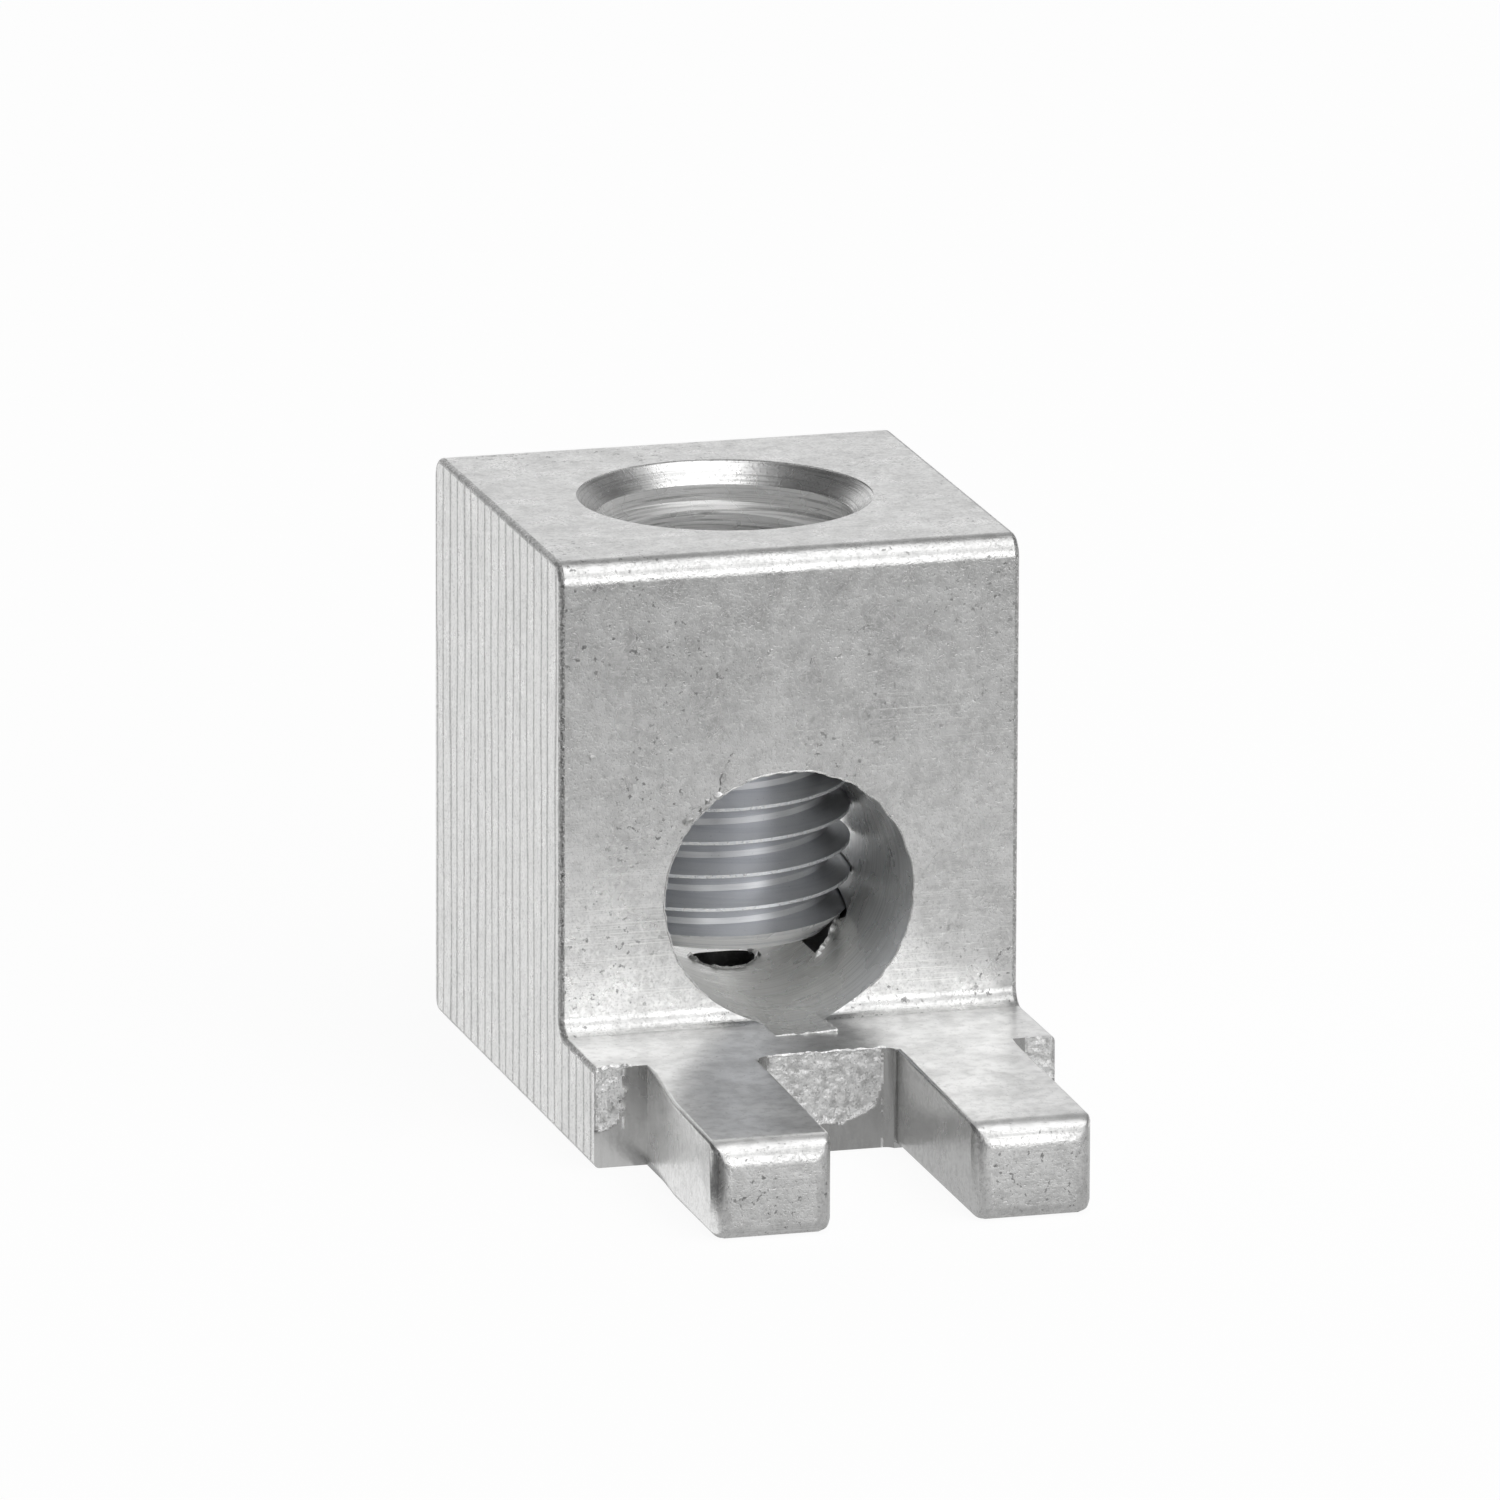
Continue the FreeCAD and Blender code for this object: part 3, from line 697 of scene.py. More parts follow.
class MeshShop:
    """Operations that more than one piece needs; all shapes here are in millimetres."""

    FLAT_WEIGHT = 80

    @staticmethod
    def outline(points: list[Point], radii: dict[int, float], segments: int) -> bmesh.types.BMesh:
        """Make a flat face through points and round some of its corners.

        Args:
            points: the corners in order.
            radii: radius of each rounded corner, by its index.
            segments: facets of a rounded corner.

        Returns:
            A bmesh that holds the face.
        """
        bm = bmesh.new()
        corners = [bm.verts.new(point) for point in points]
        bm.faces.new(corners)
        for index, radius in radii.items():
            bmesh.ops.bevel(
                bm,
                geom=[corners[index]],
                offset=radius,
                offset_type="OFFSET",
                segments=segments,
                profile=0.5,
                affect="VERTICES",
                clamp_overlap=False,
                material=-1,
            )
        bmesh.ops.remove_doubles(bm, verts=bm.verts, dist=WELD)
        return bm

    @staticmethod
    def extrude(bm: bmesh.types.BMesh, by: Point) -> None:
        """Draw the flat face of a bmesh out into a closed prism.

        Args:
            bm: the bmesh, which holds one flat face.
            by: how far and which way to draw it.
        """
        faces = list(bm.faces)
        drawn = bmesh.ops.extrude_face_region(bm, geom=faces, use_keep_orig=True)
        moved = [item for item in drawn["geom"] if isinstance(item, bmesh.types.BMVert)]
        bmesh.ops.translate(bm, vec=Vector(by), verts=moved)
        MeshShop.outward(bm)

    @staticmethod
    def turned(points: list[Point], centre: Point, axis: Point, steps: int) -> bmesh.types.BMesh:
        """Turn an open outline right round an axis.

        Args:
            points: the outline, from one end on the axis to the other.
            centre: a point on the axis.
            axis: the axis.
            steps: facets round the axis.

        Returns:
            The closed solid.
        """
        bm = bmesh.new()
        verts = [bm.verts.new(point) for point in points]
        edges = [bm.edges.new(pair) for pair in zip(verts, verts[1:])]
        bmesh.ops.spin(
            bm,
            geom=verts + edges,
            cent=centre,
            axis=axis,
            angle=FULL_TURN,
            steps=steps,
            use_merge=True,
            use_duplicate=False,
        )
        bmesh.ops.remove_doubles(bm, verts=bm.verts, dist=WELD)
        MeshShop.outward(bm)
        return bm

    @staticmethod
    def threaded(form: "ThreadForm", low: float, high: float, steps: int = 96) -> bmesh.types.BMesh:
        """Wind a threaded rod about the Z axis between two heights.

        Args:
            form: the thread's section and phase.
            low: height of the rod's lower end.
            high: height of its upper end.
            steps: facets in one turn.

        Returns:
            The closed rod.
        """
        bm = bmesh.new()
        turns = math.ceil((high - low) / form.pitch) + form.SPARE_TURNS
        crest = form.crest_height(0.0)
        start = crest + form.pitch * math.floor((low - form.LEAD_TURNS * form.pitch - crest) / form.pitch)
        verts = [bm.verts.new((radius, 0.0, start + rise)) for radius, rise in form.section()]
        edges = [bm.edges.new(pair) for pair in zip(verts, verts[1:])]
        bmesh.ops.spin(
            bm,
            geom=verts + edges,
            cent=(0.0, 0.0, 0.0),
            axis=(0.0, 0.0, 1.0),
            dvec=(0.0, 0.0, form.pitch / steps),
            angle=FULL_TURN * turns,
            steps=steps * turns,
            use_merge=False,
            use_duplicate=False,
        )
        bmesh.ops.remove_doubles(bm, verts=bm.verts, dist=WELD)
        for height, outward in ((low, -1.0), (high, 1.0)):
            bmesh.ops.bisect_plane(
                bm,
                geom=list(bm.verts) + list(bm.edges) + list(bm.faces),
                dist=FLAT_CUT,
                plane_co=(0.0, 0.0, height),
                plane_no=(0.0, 0.0, outward),
                clear_outer=True,
            )
            rim = [edge for edge in bm.edges if edge.is_boundary and MeshShop.level(edge, height)]
            bmesh.ops.contextual_create(bm, geom=rim)
        MeshShop.outward(bm)
        return bm

    @staticmethod
    def level(edge: bmesh.types.BMEdge, height: float) -> bool:
        """Return whether an edge lies flat at one height."""
        return all(abs(vert.co.z - height) < WELD for vert in edge.verts)

    @staticmethod
    def to_object(
        bm: bmesh.types.BMesh, name: str, finishes: tuple[MetalFinish, ...]
    ) -> bpy.types.Object:
        """Turn a bmesh into a linked object.

        Args:
            bm: the shape, which is freed.
            name: the object's name.
            finishes: the finishes in the order of the material slots.

        Returns:
            The object.
        """
        mesh = bpy.data.meshes.new(name)
        bm.to_mesh(mesh)
        bm.free()
        for finish in finishes:
            mesh.materials.append(finish.material())
        piece = bpy.data.objects.new(name, mesh)
        bpy.context.scene.collection.objects.link(piece)
        return piece

    @staticmethod
    def carve(
        piece: bpy.types.Object,
        cutter: bmesh.types.BMesh,
        finishes: tuple[MetalFinish, ...],
        left: Cut = Cut.AWAY,
    ) -> None:
        """Cut one shape out of a piece, or keep only what lies in both.

        Args:
            piece: the piece, whose mesh is replaced.
            cutter: the other shape, which is used up.
            finishes: the finishes of the cutter's faces, by slot.
            left: what is left of the piece.
        """
        tool = MeshShop.to_object(cutter, piece.name + "_tool", finishes)
        cut = piece.modifiers.new("cut", "BOOLEAN")
        cut.operation = left.value
        cut.solver = "EXACT"
        cut.material_mode = "TRANSFER"
        cut.object = tool
        MeshShop.settle(piece)
        tool_mesh = tool.data
        bpy.data.objects.remove(tool)
        bpy.data.meshes.remove(tool_mesh)

    @staticmethod
    def attach(piece: bpy.types.Object, rods: bmesh.types.BMesh, finish: MetalFinish) -> None:
        """Add closed rods that are sunk into a piece to its mesh.

        Args:
            piece: the piece.
            rods: the rods, which are freed.
            finish: the rods' finish.
        """
        piece.data.materials.append(finish.material())
        for face in rods.faces:
            face.material_index = len(piece.data.materials) - 1
        added = bpy.data.meshes.new("rods")
        rods.to_mesh(added)
        rods.free()
        bm = bmesh.new()
        bm.from_mesh(piece.data)
        bm.from_mesh(added)
        bm.to_mesh(piece.data)
        bm.free()
        bpy.data.meshes.remove(added)

    @staticmethod
    def ragged(strands: list[Strand]) -> bmesh.types.BMesh:
        """Make an uneven closed rod along each ragged line.

        Args:
            strands: the lines.

        Returns:
            A bmesh that holds all the rods.
        """
        bm = bmesh.new()
        for strand in strands:
            rod = MeshShop._rod(strand)
            bm.from_mesh(rod)
            bpy.data.meshes.remove(rod)
        return bm

    @staticmethod
    def _rod(strand: Strand) -> bpy.types.Mesh:
        """Make one uneven closed rod.

        Args:
            strand: the line that it follows.

        Returns:
            Its mesh, with all faces outward.
        """
        curve = bpy.data.curves.new("strand", "CURVE")
        curve.dimensions = "3D"
        curve.bevel_depth = 1.0
        curve.bevel_resolution = 0
        curve.use_fill_caps = True
        line = curve.splines.new("POLY")
        line.points.add(len(strand.points) - 1)
        for point, place in zip(line.points, strand.points):
            spot = Vector(place)
            jitter = strand.jitter * strand.thickness * MeshShop._drift(strand.jitter_fineness * spot)
            bend = strand.bend * MeshShop._drift(strand.bend_fineness * spot)
            swell = strand.swell_middle + strand.swell * noise.noise(strand.swell_fineness * spot)
            point.co = (*(spot + (jitter + bend)), 1.0)
            point.radius = strand.thickness * max(swell, strand.swell_least)
        holder = bpy.data.objects.new("strand", curve)
        bpy.context.scene.collection.objects.link(holder)
        graph = bpy.context.evaluated_depsgraph_get()
        mesh = bpy.data.meshes.new_from_object(
            holder.evaluated_get(graph), preserve_all_data_layers=True, depsgraph=graph
        )
        bpy.data.objects.remove(holder)
        bpy.data.curves.remove(curve)
        bm = bmesh.new()
        bm.from_mesh(mesh)
        bmesh.ops.remove_doubles(bm, verts=bm.verts, dist=WELD)
        MeshShop.outward(bm)
        bm.to_mesh(mesh)
        bm.free()
        return mesh

    @staticmethod
    def _drift(spot: Vector) -> Vector:
        """Give a direction that wanders from place to place, the same in each run."""
        apart = (Vector((0.0, 0.0, 0.0)), Vector((31.7, 0.0, 5.3)), Vector((0.0, 47.1, 11.9)))
        return Vector([noise.noise(spot + shift) for shift in apart])

    @staticmethod
    def outward(bm: bmesh.types.BMesh) -> None:
        """Turn the faces of one closed shape outward.

        Args:
            bm: the closed shape.
        """
        bmesh.ops.recalc_face_normals(bm, faces=bm.faces)
        if bm.calc_volume(signed=True) < 0:
            bmesh.ops.reverse_faces(bm, faces=bm.faces)

    @staticmethod
    def settle(piece: bpy.types.Object) -> None:
        """Take what a piece's modifiers make as its mesh and clear them.

        Args:
            piece: the piece, whose mesh is replaced.
        """
        graph = bpy.context.evaluated_depsgraph_get()
        shaped = bpy.data.meshes.new_from_object(
            piece.evaluated_get(graph), preserve_all_data_layers=True, depsgraph=graph
        )
        piece.modifiers.clear()
        old = piece.data
        piece.data = shaped
        bpy.data.meshes.remove(old)

    @staticmethod
    def finish_piece(piece: bpy.types.Object, sharp_angle: float) -> None:
        """Bring a piece from millimetres to metres and set how it is shaded.

        Args:
            piece: the piece.
            sharp_angle: edges that turn by more than this stay sharp, in radians.
        """
        bm = bmesh.new()
        bm.from_mesh(piece.data)
        bmesh.ops.remove_doubles(bm, verts=bm.verts, dist=WELD)
        bmesh.ops.dissolve_degenerate(bm, edges=bm.edges, dist=WELD)
        bmesh.ops.scale(bm, vec=(MM, MM, MM), verts=bm.verts)
        for face in bm.faces:
            face.smooth = True
        for edge in bm.edges:
            edge.smooth = edge.is_manifold and edge.calc_face_angle(math.pi) < sharp_angle
        open_edges = sum(not edge.is_manifold for edge in bm.edges)
        LOG.info("%s: %d faces, open edges %d", piece.name, len(bm.faces), open_edges)
        bm.to_mesh(piece.data)
        bm.free()
        weigh = piece.modifiers.new("flat_faces_stay_flat", "WEIGHTED_NORMAL")
        weigh.keep_sharp = True
        weigh.weight = MeshShop.FLAT_WEIGHT


@dataclass(frozen=True)
class ThreadForm:
    """A right-hand 60 degree thread about the Z axis, in millimetres.

    Attributes:
        crest_radius: radius of the crest.
        root_radius: radius of the root.
        crest_flat: height of the flat on the crest.
        crest_place: height of a crest's middle at the heading.
        heading: direction in which crest_place is measured, in radians from +X.
        pitch: rise of one turn.
        flank_angle: lean of each flank, in degrees.
    """

    SPARE_TURNS: ClassVar[int] = 2
    LEAD_TURNS: ClassVar[float] = 1.5

    crest_radius: float
    root_radius: float
    crest_flat: float
    crest_place: float
    heading: float
    pitch: float = 25.4 / 24
    flank_angle: float = 30.0

    def crest_height(self, direction: float) -> float:
        """Return the height of one crest's middle in a direction."""
        return self.crest_place + self.pitch * (direction - self.heading) / FULL_TURN

    def section(self) -> list[tuple[float, float]]:
        """Return one pitch of the section, as radius and height from a crest's middle.

        Returns:
            The corners, from the lower edge of one crest to that of the next.
        """
        depth = self.crest_radius - self.root_radius
        flank = depth * math.tan(math.radians(self.flank_angle))
        half_crest = self.crest_flat / 2
        root_flat = self.pitch - self.crest_flat - 2 * flank
        return [
            (self.crest_radius, -half_crest),
            (self.crest_radius, half_crest),
            (self.root_radius, half_crest + flank),
            (self.root_radius, half_crest + flank + root_flat),
            (self.crest_radius, self.pitch - half_crest),
        ]


@dataclass(frozen=True)
class Fracture:
    """The torn part of a punched wall, in millimetres.

    Attributes:
        side_reach: x of both ends of the wall.
        depths: x and depth below the foot's top of points along the patch's lower edge.
        cell: size of the wall's cells.
        recess: how far the torn part lies behind the wall.
        relief: height of its facets.
        ramp: width over which it falls back.
    """

    side_reach: tuple[float, float]
    depths: tuple[tuple[float, float], ...]
    cell: float = 0.075
    recess: float = 0.06
    relief: float = 0.05
    ramp: float = 0.12

    def inside(self, x: float, depth: float) -> float:
        """Return how far a point of the wall lies inside the patch, below zero outside.

        Args:
            x: place along the wall.
            depth: depth below the foot's top.

        Returns:
            The distance, with the edge's waver added.
        """
        waver = 0.12 * noise.noise(Vector((3.1 * x, 3.1 * depth, 7.0))) + 0.06 * noise.noise(
            Vector((9.7 * x, 9.7 * depth, 2.0))
        )
        first, last = self.depths[0][0], self.depths[-1][0]
        across = min(x - first, last - x)
        if across <= 0:
            return across + waver
        for (x1, depth1), (x2, depth2) in zip(self.depths, self.depths[1:]):
            if x1 <= x <= x2:
                lower = depth1 + (depth2 - depth1) * (x - x1) / (x2 - x1)
                return min(across, lower - depth) + waver
        return across

    def roughen(self, bm: bmesh.types.BMesh, wall_y: float, top: float) -> None:
        """Cut a punch's end wall into cells and tear those of the patch.

        Args:
            bm: the punch.
            wall_y: y of the wall.
            top: height of the foot's top.
        """
        for axis, (start, end) in enumerate((self.side_reach, (0.0, top + self.cell))):
            direction = Vector((1.0, 0.0, 0.0)) if axis == 0 else Vector((0.0, 0.0, 1.0))
            count = int((end - start) / self.cell)
            for step in range(count + 1):
                faces = [face for face in bm.faces if self._on_wall(face, wall_y)]
                if axis == 1:
                    faces = [face for face in faces if self._within(face)]
                edges = {edge for face in faces for edge in face.edges}
                verts = {vert for face in faces for vert in face.verts}
                bmesh.ops.bisect_plane(
                    bm,
                    geom=faces + list(edges) + list(verts),
                    dist=FLAT_CUT,
                    plane_co=direction * (start + step * (end - start) / count),
                    plane_no=direction,
                )
        faces = [face for face in bm.faces if self._on_wall(face, wall_y)]
        low, high = self.side_reach
        for face in faces:
            middle = face.calc_center_median()
            # Faces outside the torn patch take the burnished finish, darkened as painted shade.
            torn = self.inside(middle.x, top - middle.z) > 0
            face.material_index = PUNCH_SKINS.index(TORN if torn else BURNISHED_SHADE)
        for vert in {vert for face in faces if self._within(face) for vert in face.verts}:
            place = vert.co
            inward = self.inside(place.x, top - place.z)
            ease = min(max(inward / self.ramp, 0.0), 1.0)
            edge = min(max(min(place.x - low, high - place.x) / self.cell, 0.0), 1.0)
            facets = noise.noise(Vector((4.0 * place.x, 11.0, 4.0 * place.z))) + noise.noise(
                Vector((8.5 * place.x, 5.0, 8.5 * place.z))
            )
            place.y += ease * edge * (self.recess + self.relief * facets)

    def _within(self, face: bmesh.types.BMFace) -> bool:
        """Return whether a face of the wall lies between its two ends."""
        low, high = self.side_reach
        return low - WELD < face.calc_center_median().x < high + WELD

    @staticmethod
    def _on_wall(face: bmesh.types.BMFace, wall_y: float) -> bool:
        """Return whether a face lies in the wall."""
        return all(abs(vert.co.y - wall_y) < WELD for vert in face.verts)


@dataclass
class LugBody:
    """The block, its foot and prongs, in millimetres in the part's own frame."""

    half_width: float
    tip: float
    back: float
    height: float
    bore_radius: float
    bore_height: float
    thread: ThreadForm
    front: float = -7.45
    foot_thickness: float = 3.15
    shoulder: float = -11.5
    prong_inner: float = 2.2
    prong_outer: float = 5.95
    crown_radius: float = 0.7
    heel_radius: float = 0.5
    root_radius: float = 0.55
    tip_easing: float = 0.85
    ease_upright: float = 0.7
    ease_front_top: float = 0.9
    ease_front_below: float = 0.5
    ease_side_top: float = 0.15
    ease_side_below: float = 0.45
    tip_sink: float = 0.15
    punch_corner_radius: float = 0.35
    left_root: float = 5.63
    left_kink: float = -15.5
    edge_break: float = 0.17
    groove_reach: float = 1.9
    scuff_sink: float = 0.08
    drill_radius: float = 3.52
    drill_bottom: float = 3.73
    countersink_radius: float = 4.59
    pilot_radius: float = 1.0
    pilot_shoulder: float = 2.28
    pilot_tip: float = 1.78
    corner_strip: float = 0.4
    relief_radius: float = 3.99
    relief_low: float = 16.75
    rim_step: float = 0.05
    cavity_top: float = 6.2
    tap_clearance: float = 0.85
    ledge_angle: float = 30.0
    bore_flare: float = 0.07
    sharp_angle: float = 34.0
    margin: float = 1.0

    def build(self) -> bpy.types.Object:
        """Make the whole piece.

        Returns:
            The dressed object, riding on the lug.
        """
        piece = MeshShop.to_object(self._extrusion(), "lug_body_dressed", EXTRUSION_SKINS)
        MeshShop.carve(piece, self._slot_punch(), PUNCH_SKINS)
        for side in (-1, 1):
            MeshShop.carve(piece, self._notch_punch(side), PUNCH_SKINS)
        self._ease_tips(piece)
        MeshShop.carve(piece, self._wire_drill(), (BORED_LIT,))
        MeshShop.carve(piece, self._screw_drill(), DRILL_SKINS)
        tap_low = self.drill_bottom + self.tap_clearance
        tap = MeshShop.threaded(self.thread, tap_low, self.relief_low + self.margin / 4)
        MeshShop.carve(piece, tap, (TAPPED_LIT,))
        self._paint_cavity_shade(piece)
        MeshShop.attach(piece, MeshShop.ragged(self._scuffs()), SCORED)
        MeshShop.attach(piece, MeshShop.ragged(self._burrs()), BURR)
        MeshShop.finish_piece(piece, math.radians(self.sharp_angle))
        return piece

    def _extrusion(self) -> bmesh.types.BMesh:
        """Draw the L section and extrude it, with the sawn ends' edges broken.

        Returns:
            The closed prism, its faces on the slots of EXTRUSION_SKINS.
        """
        low = -self.half_width
        corners = [
            (low, self.tip, 0.0),
            (low, self.back, 0.0),
            (low, self.back, self.height),
            (low, self.front, self.height),
            (low, self.front, self.foot_thickness),
            (low, self.shoulder - self.margin, self.foot_thickness),
            (low, self.tip, self.foot_thickness - self.tip_sink),
        ]
        radii = {1: self.heel_radius, 2: self.crown_radius, 3: self.crown_radius, 4: self.root_radius}
        bm = MeshShop.outline(corners, radii, segments=12)
        MeshShop.extrude(bm, (2 * self.half_width, 0.0, 0.0))
        ends = [edge for edge in bm.edges if abs(edge.verts[0].co.x - edge.verts[1].co.x) < WELD]
        bmesh.ops.bevel(
            bm,
            geom=ends,
            offset=self.edge_break,
            offset_type="OFFSET",
            segments=4,
            profile=0.5,
            affect="EDGES",
            clamp_overlap=False,
            material=-1,
        )
        for face in bm.faces:
            aside = abs(face.normal.x)
            skin = SAWN if aside > SQUARE_ON else RAGGED if aside > LEANS else EXTRUDED
            # The foot's upward faces take the lighter copy of the mill finish, painted light.
            if face.normal.z > UPWARD and face.calc_center_median().z < self.foot_thickness + WELD:
                skin = LIT_FOOT
            face.material_index = EXTRUSION_SKINS.index(skin)
        return bm

    def _ease_tips(self, piece: bpy.types.Object) -> None:
        """Round the edges of the prongs' tips, most at the front.

        Args:
            piece: the piece, once it is punched.
        """
        bm = bmesh.new()
        bm.from_mesh(piece.data)
        weights = bm.edges.layers.float.new("bevel_weight_edge")
        for edge in bm.edges:
            edge[weights] = self._easing(*(vert.co for vert in edge.verts))
        bm.to_mesh(piece.data)
        bm.free()
        ease = piece.modifiers.new("ease", "BEVEL")
        ease.affect = "EDGES"
        ease.limit_method = "WEIGHT"
        ease.width = self.tip_easing
        ease.segments = 8
        ease.profile = 0.5
        ease.material = -1
        ease.use_clamp_overlap = False
        MeshShop.settle(piece)

    def _easing(self, first: Vector, second: Vector) -> float:
        """Return how much of the tips' rounding an edge between two places gets.

        Args:
            first: one end of the edge.
            second: its other end.

        Returns:
            The share of tip_easing, from 0 to 1.
        """
        along = (second - first).normalized()
        front = max(first.y, second.y) < self.tip + WELD
        on_top = min(first.z, second.z) > self.foot_thickness - self.tip_sink - WELD
        below = max(first.z, second.z) < WELD
        if front and abs(along.z) > SQUARE_ON:
            return self.ease_upright
        if front and (on_top or below):
            return self.ease_front_top if on_top else self.ease_front_below
        past_shoulder = max(first.y, second.y) < self.shoulder + WELD
        if (on_top or below) and past_shoulder and abs(along.y) > UPWARD:
            return self.ease_side_top if on_top else self.ease_side_below
        return 0.0

    def _paint_cavity_shade(self, piece: bpy.types.Object) -> None:
        """Put the hole's walls below the wire bore's axis on a near-black finish of their own, painted
        shade that darkens the cavity.

        Args:
            piece: the piece, once it is drilled and tapped.
        """
        mesh = piece.data
        names = [material.name for material in mesh.materials]
        holes = {names.index(finish.name) for finish in DRILL_SKINS}
        mesh.materials.append(CAVITY_SHADE.material())
        for face in mesh.polygons:
            if face.material_index in holes and face.center.z < self.cavity_top:
                face.material_index = len(names)

    def _burrs(self) -> list[Strand]:
        """Lay the burrs that drills, tap and punches raised on the edges that they cut.

        Returns:
            The lines that the burrs follow.
        """
        top = self.foot_thickness
        near = self.front - 0.7
        reach = self.front - self.groove_reach
        half_groove = math.sqrt(self.bore_radius**2 - (self.bore_height - top) ** 2)
        turns = [math.radians(turn) for turn in range(-50, 231, 2)]
        around = [(self.bore_radius * math.cos(turn), self.bore_radius * math.sin(turn)) for turn in turns]
        rim = tuple((x, self.front, self.bore_height + rise) for x, rise in around)
        return [
            Strand(self._on_bore(self.drill_radius + 0.03, -56.0, -14.0, 44), 0.11),
            Strand(self._on_bore(self.pilot_radius + 0.02, -178.0, -2.0, 50), 0.05),
            Strand(self._on_bore(self.pilot_radius + 0.04, 158.0, 202.0, 9), 0.13),
            Strand(self._on_bore(self.pilot_radius + 0.04, -22.0, 22.0, 9), 0.13),
            Strand(rim, 0.035),
            Strand(self._straight((-1.85, self.shoulder, top), (1.9, self.shoulder, top), 50), 0.05),
            Strand(self._straight((-7.1, self.shoulder, top), (-6.1, self.shoulder, top), 16), 0.08),
            Strand(self._straight((half_groove, near, top), (half_groove, reach, top), 20), 0.08),
            Strand(self._straight((-half_groove, near, top), (-half_groove, reach, top), 20), 0.04),
            Strand(self._straight((-half_groove, reach, top), (half_groove, reach, top), 24), 0.05),
            Strand(self._straight((-2.4, self.front, 10.26), (-2.2, self.front, 10.42), 3), 0.15),
            Strand(self._straight((-0.76, self.front, 14.82), (-0.56, self.front, 14.66), 4), 0.08),
        ]

    def _scuffs(self) -> list[Strand]:
        """Lay the scuffs on the front of the block, which stand out by a hair.

        Returns:
            The lines that the scuffs follow.
        """
        face = self.front + self.scuff_sink
        return [
            Strand(self._straight((-1.82, face, 11.75), (-2.27, face, 10.45), 18), 0.15),
            Strand(self._straight((-3.35, face, 9.55), (-2.45, face, 10.25), 14), 0.17),
            Strand(self._straight((-0.85, face, 14.72), (-0.5, face, 14.86), 6), 0.13),
            Strand(self._straight((1.5, face, 14.6), (1.55, face, 14.3), 4), 0.16),
            Strand(self._straight((0.7, face, 14.5), (0.68, face, 14.25), 4), 0.13),
            Strand(self._straight((-6.3, face, 12.0), (-6.15, face, 11.55), 6), 0.12),
            Strand(self._straight((-1.35, face, 12.35), (-1.2, face, 12.25), 3), 0.15),
        ]

    def _on_bore(self, radius: float, start: float, end: float, count: int) -> tuple[Point, ...]:
        """Return places on the bore's floor on a circle round the screw's axis.

        Args:
            radius: the circle's radius.
            start: heading of the first place, in degrees from +X.
            end: heading of the last place.
            count: steps between them.

        Returns:
            The places.
        """
        places = []
        for step in range(count + 1):
            heading = math.radians(start + (end - start) * step / count)
            x, y = radius * math.cos(heading), radius * math.sin(heading)
            places.append((x, y, self.bore_height - math.sqrt(self.bore_radius**2 - x * x)))
        return tuple(places)

    @staticmethod
    def _straight(first: Point, last: Point, count: int) -> tuple[Point, ...]:
        """Return places in a straight line from the first to the last."""
        return tuple(tuple(Vector(first).lerp(Vector(last), step / count)) for step in range(count + 1))

    def _slot_punch(self) -> bmesh.types.BMesh:
        """Make the punch that cuts the slot between the prongs.

        Returns:
            The punch, its faces on the slots of PUNCH_SKINS.
        """
        inner = self.prong_inner
        past = self.tip - self.margin
        low = -self.margin
        corners = [
            (-inner, past, low),
            (inner, past, low),
            (inner, self.shoulder, low),
            (-inner, self.shoulder, low),
        ]
        radius = self.punch_corner_radius
        torn = Fracture(
            side_reach=(radius - inner, inner - radius),
            depths=((-1.84, 1.3), (-1.4, 2.0), (-0.3, 2.24), (0.6, 2.24), (1.5, 1.9), (1.78, 1.3)),
        )
        return self._punch(corners, {2: radius, 3: radius}, torn)

    def _notch_punch(self, side: int) -> bmesh.types.BMesh:
        """Make the punch that cuts the notch outside one prong.

        Args:
            side: -1 for the notch at -X, 1 for the one at +X.

        Returns:
            The punch, its faces on the slots of PUNCH_SKINS.
        """
        outer = self.prong_outer
        wide = self.half_width + self.margin
        past = self.tip - self.margin
        low = -self.margin
        corners = [(side * outer, past, low), (side * wide, past, low), (side * wide, self.shoulder, low)]
        if side < 0:
            corners += [(-self.left_root, self.shoulder, low), (-outer, self.left_kink, low)]
            torn = Fracture(
                side_reach=(-self.half_width, -self.left_root - self.corner_strip),
                depths=((-self.half_width - 0.3, 2.0), (-6.9, 1.95), (-6.55, 1.7), (-6.4, 1.3)),
            )
        else:
            corners.append((outer, self.shoulder, low))
            torn = Fracture(
                side_reach=(outer + self.corner_strip, self.half_width),
                depths=((6.2, 1.2), (6.5, 1.45), (7.0, 1.4), (self.half_width + 0.3, 1.35)),
            )
        return self._punch(corners, {}, torn)

    def _punch(self, corners: list[Point], radii: dict[int, float], torn: Fracture) -> bmesh.types.BMesh:
        """Make a punch from its plan, with the wall that it tears.

        Args:
            corners: the plan's corners.
            radii: radius of each rounded corner, by its index.
            torn: the torn part of the wall at the shoulder.

        Returns:
            The punch, its faces on the slots of PUNCH_SKINS.
        """
        bm = MeshShop.outline(corners, radii, segments=6)
        MeshShop.extrude(bm, (0.0, 0.0, self.foot_thickness + 2 * self.margin))
        for face in bm.faces:
            corner = abs(face.normal.x) > CORNER_LEANS and face.normal.y > CORNER_LEANS
            # Rounded corners take the burnished finish, darkened as painted shade.
            face.material_index = PUNCH_SKINS.index(BURNISHED_SHADE if corner else SHEARED)
        torn.roughen(bm, self.shoulder, self.foot_thickness)
        return bm

